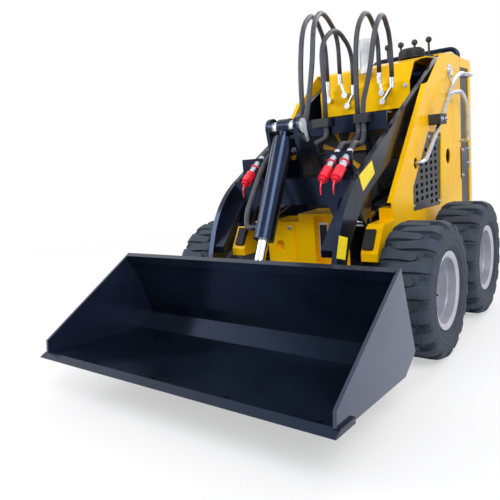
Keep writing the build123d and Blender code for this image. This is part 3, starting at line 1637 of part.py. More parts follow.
# Standing platform behind the frame: deck, back plate, rear skirt and side skirts
platform_half_width = 240
deck_z = 258
skirt_z = 200
with BuildPart() as platform:
    with BuildSketch(Plane.YZ.offset(-platform_half_width)):
        with BuildLine():
            Polyline(
                (frame_rear_y, skirt_z),
                (frame_rear_y, bay_floor_z),
                (frame_rear_y + plate, bay_floor_z),
                (frame_rear_y + plate, deck_z),
                (platform_rear_y, deck_z),
                (platform_rear_y, skirt_z),
                (platform_rear_y - sheet, skirt_z),
                (platform_rear_y - sheet, deck_z - plate),
                (frame_rear_y + plate, deck_z - plate),
                (frame_rear_y + plate, skirt_z),
                close=True,
            )
        make_face()
    extrude(amount=2 * platform_half_width)
    for side_name, side in sides:
        with BuildSketch(Plane.YZ.offset(side * platform_half_width)):
            with BuildLine():
                Polyline(
                    (frame_rear_y + plate, skirt_z),
                    (platform_rear_y, skirt_z),
                    (platform_rear_y, deck_z),
                    (frame_rear_y + 90, deck_z),
                    (frame_rear_y + plate, deck_z + 120),
                    close=True,
                )
            make_face()
        extrude(amount=-side * sheet)

platform.part.label = "platform"
export_step(platform.part, "parts/platform.step")
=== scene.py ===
import math

import bmesh
import bpy
from mathutils import Matrix, Vector


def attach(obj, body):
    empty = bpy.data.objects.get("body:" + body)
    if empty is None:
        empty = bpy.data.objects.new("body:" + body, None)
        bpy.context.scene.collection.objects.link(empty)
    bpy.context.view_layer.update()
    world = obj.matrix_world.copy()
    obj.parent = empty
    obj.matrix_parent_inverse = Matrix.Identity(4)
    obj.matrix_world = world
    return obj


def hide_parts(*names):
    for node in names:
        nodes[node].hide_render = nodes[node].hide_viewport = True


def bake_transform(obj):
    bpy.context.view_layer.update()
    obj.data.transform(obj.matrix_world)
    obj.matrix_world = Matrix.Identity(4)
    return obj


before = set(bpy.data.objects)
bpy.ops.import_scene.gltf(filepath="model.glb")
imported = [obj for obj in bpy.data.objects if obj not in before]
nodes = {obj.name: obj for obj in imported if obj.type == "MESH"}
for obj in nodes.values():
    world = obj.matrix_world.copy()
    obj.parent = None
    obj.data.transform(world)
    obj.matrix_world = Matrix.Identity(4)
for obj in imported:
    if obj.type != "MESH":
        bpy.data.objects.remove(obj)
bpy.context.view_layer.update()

scene = bpy.context.scene

# View: the photograph is taken from low in front of the machine, to its left, with the camera
# rolled a little, so that the far side of the bucket seems to climb.
azimuth, elevation, roll = math.radians(37.43), math.radians(10.2), math.radians(-5.26)
camera_place = (1.105, -2.080, 0.796)
focal_length_mm, sensor_width_mm = 37.5, 36
back = Vector(
    (math.sin(azimuth) * math.cos(elevation), -math.cos(azimuth) * math.cos(elevation), math.sin(elevation))
)
level_right = (-back).cross(Vector((0, 0, 1))).normalized()
level_up = level_right.cross(-back)
right = level_right * math.cos(roll) + level_up * math.sin(roll)
up = level_up * math.cos(roll) - level_right * math.sin(roll)
camera_data = bpy.data.cameras.new("camera")
camera_data.lens = focal_length_mm
camera_data.sensor_width = sensor_width_mm
camera = bpy.data.objects.new("camera", camera_data)
camera.matrix_world = Matrix.Translation(camera_place) @ Matrix((right, up, back)).transposed().to_4x4()
scene.collection.objects.link(camera)
scene.camera = camera


# Studio: three soft lamps and a pale floor. The camera and the paint's reflections see a white
# background, and the floor keeps the machine's shadow and fades to white away from it.
def linear(hex_colour):
    """An sRGB hex colour as the linear colour that a shader takes."""
    channels = [int(hex_colour[i : i + 2], 16) / 255 for i in (1, 3, 5)]
    return (*[c / 12.92 if c <= 0.04045 else ((c + 0.055) / 1.055) ** 2.4 for c in channels], 1)


def add(tree, kind, inputs=None, **settings):
    """Add a node to a tree with its settings, and its inputs as values or as sockets to link."""
    node = tree.nodes.new(kind)
    for name, value in settings.items():
        setattr(node, name, value)
    for name, value in (inputs or {}).items():
        if isinstance(value, bpy.types.NodeSocket):
            tree.links.new(value, node.inputs[name])
        else:
            node.inputs[name].default_value = value
    return node


sky_light = 0.5
scene.view_settings.view_transform = "Standard"
world = bpy.data.worlds.new("studio")
scene.world = world
world.use_nodes = True
sky = world.node_tree
sky.nodes.clear()
seen = add(sky, "ShaderNodeLightPath")
camera_or_gloss = add(
    sky,
    "ShaderNodeMath",
    {0: seen.outputs["Is Camera Ray"], 1: seen.outputs["Is Glossy Ray"]},
    operation="MAXIMUM",
)
direct = add(
    sky,
    "ShaderNodeMath",
    {0: camera_or_gloss.outputs[0], 1: seen.outputs["Is Transmission Ray"]},
    operation="MAXIMUM",
)
fill = add(sky, "ShaderNodeBackground", {"Color": linear("#FFFFFF"), "Strength": sky_light})
white = add(sky, "ShaderNodeBackground", {"Color": linear("#FFFFFF"), "Strength": 1.0})
mixed = add(sky, "ShaderNodeMixShader", {0: direct.outputs[0], 1: fill.outputs[0], 2: white.outputs[0]})
add(sky, "ShaderNodeOutputWorld", {"Surface": mixed.outputs[0]})

floor_half = 30
floor_corners = [(x * floor_half, y * floor_half, 0) for x, y in ((-1, -1), (1, -1), (1, 1), (-1, 1))]
floor_mesh = bpy.data.meshes.new("floor")
floor_mesh.from_pydata(floor_corners, [], [(0, 1, 2, 3)])
floor = bpy.data.objects.new("floor", floor_mesh)
scene.collection.objects.link(floor)

# Pale floor: matt, and to the camera half white near the machine and all white from 4.5 m on
fade_near, fade_far, white_near, white_far = 1.2, 4.5, 0.5, 1.0
pale = bpy.data.materials.new("pale_floor")
pale.use_nodes = True
pale.node_tree.nodes.clear()
floor_seen = add(pale.node_tree, "ShaderNodeLightPath")
floor_place = add(pale.node_tree, "ShaderNodeTexCoord")
floor_reach = add(
    pale.node_tree, "ShaderNodeVectorMath", {0: floor_place.outputs["Object"]}, operation="LENGTH"
)
floor_fade = add(
    pale.node_tree,
    "ShaderNodeMapRange",
    {
        "Value": floor_reach.outputs["Value"],
        "From Min": fade_near,
        "From Max": fade_far,
        "To Min": white_near,
        "To Max": white_far,
    },
)
floor_share = add(
    pale.node_tree,
    "ShaderNodeMath",
    {0: floor_seen.outputs["Is Camera Ray"], 1: floor_fade.outputs[0]},
    operation="MULTIPLY",
)
floor_matt = add(pale.node_tree, "ShaderNodeBsdfDiffuse", {"Color": linear("#F4F4F6")})
floor_white = add(pale.node_tree, "ShaderNodeEmission", {"Color": linear("#FFFFFF"), "Strength": 1.0})
floor_mix = add(
    pale.node_tree,
    "ShaderNodeMixShader",
    {0: floor_share.outputs[0], 1: floor_matt.outputs[0], 2: floor_white.outputs[0]},
)
add(pale.node_tree, "ShaderNodeOutputMaterial", {"Surface": floor_mix.outputs[0]})
floor_mesh.materials.append(pale)

# Rows are the lamp's name, its place, its width in metres and its power in watts
lamp_aim = Vector((0, 0, 0.5))
for lamp_name, place, size, energy in (
    ("key", (3.5, -3.5, 4.5), 3.0, 230),
    ("fill", (-4.0, -3.0, 3.0), 3.0, 150),
    ("rim", (0.5, 4.0, 4.0), 3.0, 120),
):
    lamp = bpy.data.lights.new(lamp_name, "AREA")
    lamp.size = size
    lamp.energy = energy
    holder = bpy.data.objects.new(lamp_name, lamp)
    holder.location = place
    holder.rotation_euler = (lamp_aim - Vector(place)).to_track_quat("-Z", "Y").to_euler()
    scene.collection.objects.link(holder)

# Frame: folded and welded steel plate under black two-pack enamel. The paint is glossy with a faint
# orange peel from the spray gun; its reflections carry a painted blue tint in place of sky light.
colour_band, roughness_band = (0.35, 0.65), (0.3, 0.7)


def surface(
    name,
    colours,
    roughness,
    patch_mm,
    grain_mm,
    grain_depth_mm,
    metallic=0.0,
    coat=0.0,
    gloss=0.5,
    reflection="#FFFFFF",
):
    """A finish whose colour and roughness drift in patches between two values, with a fine grain as bump."""
    material = bpy.data.materials.new(name)
    material.use_nodes = True
    tree = material.node_tree
    tree.nodes.clear()
    place = add(tree, "ShaderNodeTexCoord").outputs["Object"]
    patches = add(tree, "ShaderNodeTexNoise", {"Vector": place, "Scale": 1000 / patch_mm, "Detail": 5.0})
    share = add(
        tree,
        "ShaderNodeMapRange",
        {
            "Value": patches.outputs["Fac"],
            "From Min": colour_band[0],
            "From Max": colour_band[1],
            "To Min": 0.0,
            "To Max": 1.0,
        },
    )
    # Inputs 6 and 7 of the mix, and its output 2, are the ones for colours
    two_colours = {0: share.outputs[0], 6: linear(colours[0]), 7: linear(colours[1])}
    colour = add(tree, "ShaderNodeMix", two_colours, data_type="RGBA")
    rough = add(
        tree,
        "ShaderNodeMapRange",
        {
            "Value": patches.outputs["Fac"],
            "From Min": roughness_band[0],
            "From Max": roughness_band[1],
            "To Min": roughness[0],
            "To Max": roughness[1],
        },
    )
    grain = add(tree, "ShaderNodeTexNoise", {"Vector": place, "Scale": 1000 / grain_mm, "Detail": 3.0})
    bump = add(
        tree,
        "ShaderNodeBump",
        {"Height": grain.outputs["Fac"], "Distance": grain_depth_mm / 1000, "Strength": 1.0},
    )
    shader = add(
        tree,
        "ShaderNodeBsdfPrincipled",
        {
            "Base Color": colour.outputs[2],
            "Roughness": rough.outputs[0],
            "Normal": bump.outputs[0],
            "Metallic": metallic,
            "Coat Weight": coat,
            "Specular IOR Level": gloss,
            "Specular Tint": linear(reflection),
        },
    )
    add(tree, "ShaderNodeOutputMaterial", {"Surface": shader.outputs[0]})
    return material


def paint(material, *names):
    """Give CAD nodes a finish in all their slots."""
    for name in names:
        node = nodes[name]
        if not node.material_slots:
            node.data.materials.append(material)
        for held in node.material_slots:
            held.material = material


# Black enamel: near black and glossy, with a painted blue tint on its reflections in place of sky light
black_enamel = surface(
    "black_enamel",
    colours=("#090C13", "#11161F"),
    roughness=(0.16, 0.28),
    patch_mm=160,
    grain_mm=3.5,
    grain_depth_mm=0.04,
    coat=0.1,
    gloss=0.55,
    reflection="#8FB0F5",
)
paint(black_enamel, "chassis_frame", "platform", "fan_guard")

# Wheel motors and engine: rough sand castings in grey iron. They are sprayed dark grey without
# filling, so they stay matt and keep the grain of the mould.
# Cast iron: dark, rough and grainy, with little shine
cast_iron = surface(
    "cast_iron",
    colours=("#2A2C31", "#3A3C42"),
    roughness=(0.6, 0.8),
    patch_mm=40,
    grain_mm=2.5,
    grain_depth_mm=0.35,
    metallic=0.3,
)
paint(cast_iron, "wheel_motors", "engine_block")

# Front tank and arm stops: welded sheet boxes in the machine's yellow enamel. The tank has a bolted
# cover with an oval opening and, in its recess, the level gauge in a white frame.
# Yellow enamel: full chrome yellow, less glossy than the black, with warm reflections
yellow_enamel = surface(
    "yellow_enamel",
    colours=("#FFC000", "#FFCA04"),
    roughness=(0.24, 0.38),
    patch_mm=220,
    grain_mm=3.5,
    grain_depth_mm=0.04,
    coat=0.05,
    gloss=0.25,
    reflection="#FFE08A",
)
paint(yellow_enamel, "front_tank", "arm_stops")


def new_piece(name, mesh, material, body):
    """An object for a finished mesh, riding on a body."""
    piece = bpy.data.objects.new(name, mesh)
    scene.collection.objects.link(piece)
    mesh.materials.clear()
    mesh.materials.append(material)
    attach(piece, body)
    return piece


def finished(shape, name):
    """Turn a shape's faces outwards and hand it over as a mesh."""
    bmesh.ops.recalc_face_normals(shape, faces=shape.faces[:])
    mesh = bpy.data.meshes.new(name)
    shape.to_mesh(mesh)
    shape.free()
    return mesh


def bevelled_box(low, high, bevel, segments=2):
    """Mesh of a box from corner to corner with rounded edges, in metres."""
    shape = bmesh.new()
    bmesh.ops.create_cube(shape, size=1)
    size = Vector(high) - Vector(low)
    middle = (Vector(high) + Vector(low)) / 2
    for vertex in shape.verts:
        vertex.co = Vector([vertex.co[i] * size[i] + middle[i] for i in range(3)])
    bmesh.ops.bevel(
        shape, geom=shape.edges[:], offset=bevel, segments=segments, affect="EDGES", clamp_overlap=True
    )
    return finished(shape, "box")


# White film: the gauge's printed frame, even and nearly white
white_film = surface(
    "white_film",
    colours=("#E9EAEC", "#F4F5F6"),
    roughness=(0.35, 0.45),
    patch_mm=30,
    grain_mm=1.0,
    grain_depth_mm=0.01,
)
# Black film: the gauge's dark face, even and smooth
black_film = surface(
    "black_film",
    colours=("#15161A", "#1C1D22"),
    roughness=(0.3, 0.4),
    patch_mm=30,
    grain_mm=1.0,
    grain_depth_mm=0.01,
)
recess_floor_y = -0.216
# Rows are name, low and high corner with their Y from the recess's floor, bevel and finish
for gauge_name, low, high, bevel, finish in (
    ("gauge_frame", (0.047, -0.006, 0.362), (0.091, 0.001, 0.502), 0.0015, white_film),
    ("gauge_glass", (0.053, -0.009, 0.370), (0.085, -0.005, 0.494), 0.001, black_film),
):
    gauge_low = (low[0], recess_floor_y + low[1], low[2])
    gauge_high = (high[0], recess_floor_y + high[1], high[2])
    new_piece(gauge_name, bevelled_box(gauge_low, gauge_high, bevel), finish, "chassis")

# Bolts: zinc-plated hexagon heads on washers. One head is modelled and set at each bolt's place by
# Geometry Nodes, turned to the face that it holds.
washer_sides, hexagon_sides = 20, 6
# Shares of the head's width across flats, then shares of its height
washer_radius, hexagon_foot, hexagon_crown = 0.72, 0.577, 0.54
washer_thickness, washer_rise, hexagon_rise = 0.3, 0.1, 0.7


def hexagon_head(across, height):
    """Mesh of a bolt head on a washer, standing on +Z from the origin, in metres."""
    shape = bmesh.new()
    washer = bmesh.ops.create_cone(
        shape,
        cap_ends=True,
        segments=washer_sides,
        radius1=across * washer_radius,
        radius2=across * washer_radius,
        depth=height * washer_thickness,
    )
    for vertex in washer["verts"]:
        vertex.co.z += height * washer_rise
    head = bmesh.ops.create_cone(
        shape,
        cap_ends=True,
        segments=hexagon_sides,
        radius1=across * hexagon_foot,
        radius2=across * hexagon_crown,
        depth=height,
    )
    for vertex in head["verts"]:
        vertex.co.z += height * hexagon_rise
    return finished(shape, "bolt_head")


def tree_input(tree, name, kind, value=None):
    """A named input of a geometry tree, and the identifier that a modifier sets it by."""
    socket = tree.interface.new_socket(name, in_out="INPUT", socket_type=kind)
    if value is not None:
        socket.default_value = value
    return socket.identifier


set_tree = bpy.data.node_groups.new("set_on_points", "GeometryNodeTree")
set_tree.interface.new_socket("Geometry", in_out="OUTPUT", socket_type="NodeSocketGeometry")
tree_input(set_tree, "Points", "NodeSocketGeometry")
set_piece_id = tree_input(set_tree, "Piece", "NodeSocketObject")
set_turn_id = tree_input(set_tree, "Turn", "NodeSocketVector", (0, 0, 0))
set_finish_id = tree_input(set_tree, "Finish", "NodeSocketMaterial")
set_in = add(set_tree, "NodeGroupInput")
set_head = add(set_tree, "GeometryNodeObjectInfo", {"Object": set_in.outputs["Piece"]})
set_heads = add(
    set_tree,
    "GeometryNodeInstanceOnPoints",
    {
        "Points": set_in.outputs["Points"],
        "Instance": set_head.outputs["Geometry"],
        "Rotation": set_in.outputs["Turn"],
    },
)
set_real = add(set_tree, "GeometryNodeRealizeInstances", {"Geometry": set_heads.outputs[0]})
set_done = add(
    set_tree,
    "GeometryNodeSetMaterial",
    {"Geometry": set_real.outputs[0], "Material": set_in.outputs["Finish"]},
)
add(set_tree, "NodeGroupOutput", {"Geometry": set_done.outputs[0]})


def grown(name, mesh, tree, values, material, body):
    """Run a geometry tree on a mesh and keep its result as a plain piece."""
    seed = bpy.data.objects.new(name + "_seed", mesh)
    scene.collection.objects.link(seed)
    modifier = seed.modifiers.new("grow", "NODES")
    modifier.node_group = tree
    for identifier, value in values.items():
        modifier[identifier] = value
    bpy.context.view_layer.update()
    ready = seed.evaluated_get(bpy.context.evaluated_depsgraph_get())
    result = bpy.data.meshes.new_from_object(ready)
    seed.modifiers.remove(modifier)
    bpy.data.objects.remove(seed)
    return new_piece(name, result, material, body)


def set_along(name, points, head, turn, material, body):
    """Set one head at each point, turned from +Z by the given angles."""
    places = bpy.data.meshes.new(name + "_points")
    places.from_pydata(points, [], [])
    holder = bpy.data.objects.new(name + "_head", head)
    scene.collection.objects.link(holder)
    values = {set_piece_id: holder, set_turn_id: turn, set_finish_id: material}
    piece = grown(name, places, set_tree, values, material, body)
    bpy.data.objects.remove(holder)
    return piece


# Deck pattern: raised bars rolled into the platform's plate, for grip. They lean left and right by
# turns, in staggered rows.
deck_bar_pitch = 0.036
deck_columns, deck_rows = 13, 5
deck_first_x, deck_first_y, deck_top_z = -0.216, 0.960, 0.2579
bar_half_length, bar_half_width, bar_height, bar_sunk, bar_bevel = 0.013, 0.003, 0.0018, 0.0005, 0.0012
for lean_name, lean, shift in (("left", 45, 0), ("right", -45, 1)):
    deck_places = [
        (deck_first_x + deck_bar_pitch * column, deck_first_y + deck_bar_pitch * row, deck_top_z)
        for column in range(deck_columns)
        for row in range(deck_rows)
        if (column + row) % 2 == shift
    ]
    deck_bar = bevelled_box(
        (-bar_half_length, -bar_half_width, -bar_sunk),
        (bar_half_length, bar_half_width, bar_height),
        bar_bevel,
        segments=1,
    )
    set_along(
        "deck_bars_" + lean_name, deck_places, deck_bar, (0, 0, math.radians(lean)), black_enamel, "chassis"
    )

# Tank cover: a plate on the front of the tank, held by a bolt in each corner. All the machine's bolts
# have the same bright zinc plating.
facing_front = (math.radians(90), 0, 0)
# Zinc plate: pale, bright metal with softened reflections
zinc_plate = surface(
    "zinc_plate",
    colours=("#C9CDD6", "#E2E5EB"),
    roughness=(0.24, 0.4),
    patch_mm=12,
    grain_mm=0.8,
    grain_depth_mm=0.02,
    metallic=1.0,
)
tank_cover_face_y = -0.2501
tank_cover_bolt_xs, tank_cover_bolt_zs = (-0.178, -0.075), (0.314, 0.484)
set_along(
    "tank_cover_bolts",
    [(x, tank_cover_face_y, z) for x in tank_cover_bolt_xs for z in tank_cover_bolt_zs],
    hexagon_head(across=0.013, height=0.006),
    facing_front,
    zinc_plate,
    "chassis",
)

# Stop pads: blocks of moulded black rubber on the stops, where the arms come down when the boom is
# lowered.
# Pad rubber: matt, with the grain of its mould
pad_rubber = surface(
    "pad_rubber",
    colours=("#101115", "#1A1B20"),
    roughness=(0.7, 0.85),
    patch_mm=30,
    grain_mm=1.5,
    grain_depth_mm=0.15,
)
paint(pad_rubber, "stop_pads")

# Towers: laser-cut sheet in yellow enamel, each with a flange folded inwards along its sloping front
# edge. A black plate with four bolts covers the joint between each tower and the engine bay.
paint(yellow_enamel, "tower_left", "tower_right")
paint(black_enamel, "rear_side_plates")
facing_left, facing_right = (0, math.radians(90), 0), (0, math.radians(-90), 0)
machine_sides = (("left", 1, facing_left), ("right", -1, facing_right))


def side_bolts(name, face_x, places, across, height):
    """Bolts at places given as Y and Z, on the outer faces of both sides of the machine."""
    for side_name, side, turn in machine_sides:
        set_along(
            name + side_name,
            [(side * face_x, y, z) for y, z in places],
            hexagon_head(across, height),
            turn,
            zinc_plate,
            "chassis",
        )


rear_plate_face_x = 0.334
rear_plate_bolt_places = ((0.852, 0.725), (0.985, 0.725), (0.852, 0.594), (0.985, 0.650))
side_bolts(
    "rear_plate_bolts_", rear_plate_face_x, rear_plate_bolt_places, across=0.013, height=0.007
)

# Pins: turned steel, zinc plated. Each boom pin has a teardrop lock plate on the tower's outer face,
# held by one bolt, that keeps it from turning.
paint(zinc_plate, "boom_pins", "bucket_hinge_pins", "tilt_pin")
lock_plate_face_x = 0.335
lock_plate_bolt_places = ((0.687, 1.065),)
side_bolts("lock_plate_bolt_", lock_plate_face_x, lock_plate_bolt_places, across=0.014, height=0.008)

# Side grilles: punched sheet behind the windows of the towers, painted black. A screw in each corner
# holds the sheet.
# Grille paint: duller and greyer than the frame's enamel
grille_paint = surface(
    "grille_paint",
    colours=("#2B2D35", "#3B3E48"),
    roughness=(0.35, 0.5),
    patch_mm=60,
    grain_mm=2.0,
    grain_depth_mm=0.04,
    metallic=0.2,
)
paint(grille_paint, "side_grilles")
grille_face_x = 0.3241
grille_screw_places = ((0.122, 0.522), (0.474, 0.502), (0.474, 0.800), (0.340, 0.808))
side_bolts("grille_screws_", grille_face_x, grille_screw_places, across=0.010, height=0.005)

# Steel tubes: bent precision tube, zinc plated. On each tower a moulded clamp of black plastic, with
# two bolts, holds the long tube.
# Tube zinc: drawn smooth under its plating, so it mirrors more sharply than the bolts
tube_zinc = surface(
    "tube_zinc",
    colours=("#B4B8CA", "#CDD1E0"),
    roughness=(0.18, 0.3),
    patch_mm=40,
    grain_mm=1.0,
    grain_depth_mm=0.01,
    metallic=1.0,
)
paint(tube_zinc, "steel_tubes")
# Black plastic: moulded nylon, matt, with a fine spark-eroded grain
black_plastic = surface(
    "black_plastic",
    colours=("#1D1F26", "#292B33"),
    roughness=(0.45, 0.6),
    patch_mm=40,
    grain_mm=0.9,
    grain_depth_mm=0.06,
)
paint(black_plastic, "tube_clamps", "hose_clamps")
tube_clamp_face_x = 0.384
tube_clamp_bolt_places = ((0.340, 0.881), (0.405, 0.881))
side_bolts(
    "tube_clamp_bolts_", tube_clamp_face_x, tube_clamp_bolt_places, across=0.013, height=0.007
)

# Cooler, fan and guard: a black core behind the ringed guard, with the fan between them. Its blades
# are moulded in yellow plastic and show between the rings.
# Cooler plastic: matt black, so that the core stays dark behind the guard
cooler_plastic = surface(
    "cooler_plastic",
    colours=("#15161B", "#202229"),
    roughness=(0.5, 0.65),
    patch_mm=50,
    grain_mm=1.6,
    grain_depth_mm=0.1,
)
paint(cooler_plastic, "oil_cooler")
# Fan yellow: plain moulded plastic, darker than the enamel
fan_yellow = surface(
    "fan_yellow",
    colours=("#C98A00", "#E0A200"),
    roughness=(0.4, 0.5),
    patch_mm=60,
    grain_mm=1.2,
    grain_depth_mm=0.03,
)
fan_centre_x, fan_centre_z = 0.018, 0.774
fan_blade_count = 7
blade_faces_y = (0.0985, 0.1005)
blade_pitch_rise = 0.004
# Rows are the radius of a blade's corner and its turn from the blade's own direction, in radians
blade_corners = ((0.030, 0.16), (0.110, 0.24), (0.110, 0.02), (0.030, -0.10))
blades = bmesh.new()
for index in range(fan_blade_count):
    turned = index * math.tau / fan_blade_count
    front_ring, rear_ring = [
        [
            blades.verts.new(
                (
                    fan_centre_x + radius * math.cos(turned + spread),
                    face_y + blade_pitch_rise * (spread > 0),
                    fan_centre_z + radius * math.sin(turned + spread),
                )
            )
            for radius, spread in blade_corners
        ]
        for face_y in blade_faces_y
    ]
    blades.faces.new(front_ring)
    blades.faces.new(list(reversed(rear_ring)))
    for i in range(len(blade_corners)):
        j = (i + 1) % len(blade_corners)
        blades.faces.new((front_ring[j], front_ring[i], rear_ring[i], rear_ring[j]))
new_piece("fan_blades", finished(blades, "fan_blades"), fan_yellow, "chassis")

# Bodywork: front panel and engine hood in folded sheet and yellow enamel. The panel carries the
# hoses' fittings and is held by a bolt in each corner.
paint(yellow_enamel, "front_panel", "engine_hood")
front_panel_face_y = 0.3799
front_panel_bolt_xs, front_panel_bolt_zs = (-0.212, 0.212), (0.972, 1.052)
set_along(
    "front_panel_bolts",
    [(x, front_panel_face_y, z) for x in front_panel_bolt_xs for z in front_panel_bolt_zs],
    hexagon_head(across=0.014, height=0.007),
    facing_front,
    zinc_plate,
    "chassis",
)

# Louvres: pressed hoods in the rear wall of the engine bay that let the hot air out. They stand in
# three columns and carry the hood's yellow enamel.
louvre_half, louvre_height, louvre_depth, louvre_taper = 0.045, 0.012, 0.008, 0.94
louvre_wall_y, louvre_first_z, louvre_pitch, louvre_rows = 1.0549, 0.560, 0.030, 10
louvre_xs = (-0.130, 0.0, 0.130)
louvre_corners = (
    (-louvre_half, 0, 0),
    (louvre_half, 0, 0),
    (louvre_half, 0, louvre_height),
    (-louvre_half, 0, louvre_height),
    (-louvre_half * louvre_taper, louvre_depth, 0),
    (louvre_half * louvre_taper, louvre_depth, 0),
)
louvre = bmesh.new()
louvre_points = [louvre.verts.new(corner) for corner in louvre_corners]
for face in ((0, 1, 5, 4), (4, 5, 2, 3), (0, 4, 3), (1, 2, 5), (0, 3, 2, 1)):
    louvre.faces.new([louvre_points[i] for i in face])
louvre_places = [
    (x, louvre_wall_y, louvre_first_z + louvre_pitch * row) for x in louvre_xs for row in range(louvre_rows)
]
set_along(
    "rear_louvres", louvre_places, finished(louvre, "louvre"), (0, 0, 0), yellow_enamel, "chassis"
)

# Air intake, oil filter, console and rail: the intake's ribbed cap and the console are moulded in
# black plastic, the filter is a white canister, and the rail is bent tube in the frame's black.
paint(black_plastic, "air_intake", "control_console")
# Canister enamel: baked white enamel, smooth and glossy
canister = surface(
    "canister_enamel",
    colours=("#D9DBE0", "#ECEDF0"),
    roughness=(0.25, 0.35),
    patch_mm=50,
    grain_mm=1.2,
    grain_depth_mm=0.02,
    coat=0.3,
)
paint(canister, "oil_filter")
paint(black_enamel, "grab_rail")

# Rims: pressed steel discs in silver lacquer, held by a ring of wheel nuts. Geometry Nodes set what
# repeats round a wheel in its ring.
# Silver lacquer: half metallic, so it shines softly and keeps its own grey
rim_silver = surface(
    "rim_silver",
    colours=("#AFB0BC", "#C2C3CD"),
    roughness=(0.3, 0.42),
    patch_mm=90,
    grain_mm=1.4,
    grain_depth_mm=0.03,
    metallic=0.55,
)
# Tyre rubber: matt, with the blue-grey cast of the photograph's light painted into its colour
tyre_rubber = surface(
    "tyre_rubber",
    colours=("#272F3B", "#333E4D"),
    roughness=(0.7, 0.86),
    patch_mm=45,
    grain_mm=1.1,
    grain_depth_mm=0.12,
)
nut_count, nut_across, nut_height = 5, 0.019, 0.012
nut_circle_radius, disc_face_x = 0.070, 0.008
ring_tree = bpy.data.node_groups.new("set_in_ring", "GeometryNodeTree")
ring_tree.interface.new_socket("Geometry", in_out="OUTPUT", socket_type="NodeSocketGeometry")
tree_input(ring_tree, "Geometry", "NodeSocketGeometry")
ring_piece_id = tree_input(ring_tree, "Piece", "NodeSocketObject")
ring_count_id = tree_input(ring_tree, "Count", "NodeSocketInt", nut_count)
ring_centre_id = tree_input(ring_tree, "Centre", "NodeSocketVector", (0, 0, 0))
ring_finish_id = tree_input(ring_tree, "Finish", "NodeSocketMaterial")
ring_in = add(ring_tree, "NodeGroupInput")
ring_points = add(
    ring_tree,
    "GeometryNodePoints",
    {"Count": ring_in.outputs["Count"], "Position": ring_in.outputs["Centre"]},
)
ring_index = add(ring_tree, "GeometryNodeInputIndex")
ring_part = add(
    ring_tree,
    "ShaderNodeMath",
    {0: ring_index.outputs[0], 1: ring_in.outputs["Count"]},
    operation="DIVIDE",
)
ring_angle = add(ring_tree, "ShaderNodeMath", {0: ring_part.outputs[0], 1: math.tau}, operation="MULTIPLY")
ring_turn = add(ring_tree, "ShaderNodeCombineXYZ", {"X": ring_angle.outputs[0]})
ring_piece = add(ring_tree, "GeometryNodeObjectInfo", {"Object": ring_in.outputs["Piece"]})
ring_set = add(
    ring_tree,
    "GeometryNodeInstanceOnPoints",
    {
        "Points": ring_points.outputs[0],
        "Instance": ring_piece.outputs["Geometry"],
        "Rotation": ring_turn.outputs[0],
    },
)
ring_real = add(ring_tree, "GeometryNodeRealizeInstances", {"Geometry": ring_set.outputs[0]})
ring_done = add(
    ring_tree,
    "GeometryNodeSetMaterial",
    {"Geometry": ring_real.outputs[0], "Material": ring_in.outputs["Finish"]},
)
add(ring_tree, "NodeGroupOutput", {"Geometry": ring_done.outputs[0]})


def set_in_ring(name, shape, count, centre, material, body):
    """Set a shape, made round the X axis at the origin, in a ring about a wheel's centre."""
    holder = bpy.data.objects.new(name + "_shape", shape)
    scene.collection.objects.link(holder)
    start = bpy.data.meshes.new(name + "_start")
    start.from_pydata([(0, 0, 0)], [], [])
    values = {
        ring_piece_id: holder,
        ring_count_id: count,
        ring_centre_id: centre,
        ring_finish_id: material,
    }
    piece = grown(name, start, ring_tree, values, material, body)
    bpy.data.objects.remove(holder)
    return piece


def wheel_nut(side):
    """Mesh of one wheel nut on the disc's outer face, at its radius from the wheel's axis."""
    mesh = hexagon_head(nut_across, nut_height)
    mesh.transform(Matrix.Rotation(math.radians(90 * side), 4, "Y"))
    mesh.transform(Matrix.Translation((side * disc_face_x, 0, nut_circle_radius)))
    return mesh


# Tyres: moulded rubber with broad lugs that reach past the middle from each shoulder, their round
# noses between those of the other side. Between their feet, the shoulders carry thin ribs.
lug_count = 18
lug_pitch = math.tau / lug_count
tread_radius = 0.2538
lug_slant, lug_reach, lug_wall_depth = 0.016, 0.14, 0.016
# Rows are the distance from the crown's middle towards the foot, half the lug's width and the drop
# of its top, from the nose to the foot
lug_sections = (
    (-0.042, 0.006, 0.0),
    (-0.039, 0.012, 0.0),
    (-0.033, 0.0165, 0.0),
    (-0.022, 0.0185, 0.0),
    (0.0, 0.0185, 0.0),
    (0.022, 0.0195, 0.0),
    (0.045, 0.0215, 0.0),
    (0.065, 0.0245, 0.0006),
    (0.080, 0.0265, 0.0060),
    (0.090, 0.0265, 0.0130),
    (0.0955, 0.0255, 0.0230),
    (0.0975, 0.0245, 0.0380),
)
lug_nose = lug_sections[0][0]
# Shares of the half width across a lug's section: the first and last are the feet of its walls
lug_shares = (-1.0, -0.9, -0.3, 0.3, 0.9, 1.0)
rib_steps, rib_half, rib_start = (-0.006, 0.0, 0.006), 0.0010, 0.0442
# Rows are the distance from the crown's middle and the radius of a rib's corners
rib_corners = (
    (0.060, 0.2400),
    (0.060, 0.2445),
    (0.080, 0.2410),
    (0.091, 0.2320),
    (0.091, 0.2270),
    (0.078, 0.2360),
)


def joined_rings(shape, first, second):
    """Faces between two closed rings of as many points."""
    for i in range(len(first)):
        j = (i + 1) % len(first)
        shape.faces.new((first[i], first[j], second[j], second[i]))


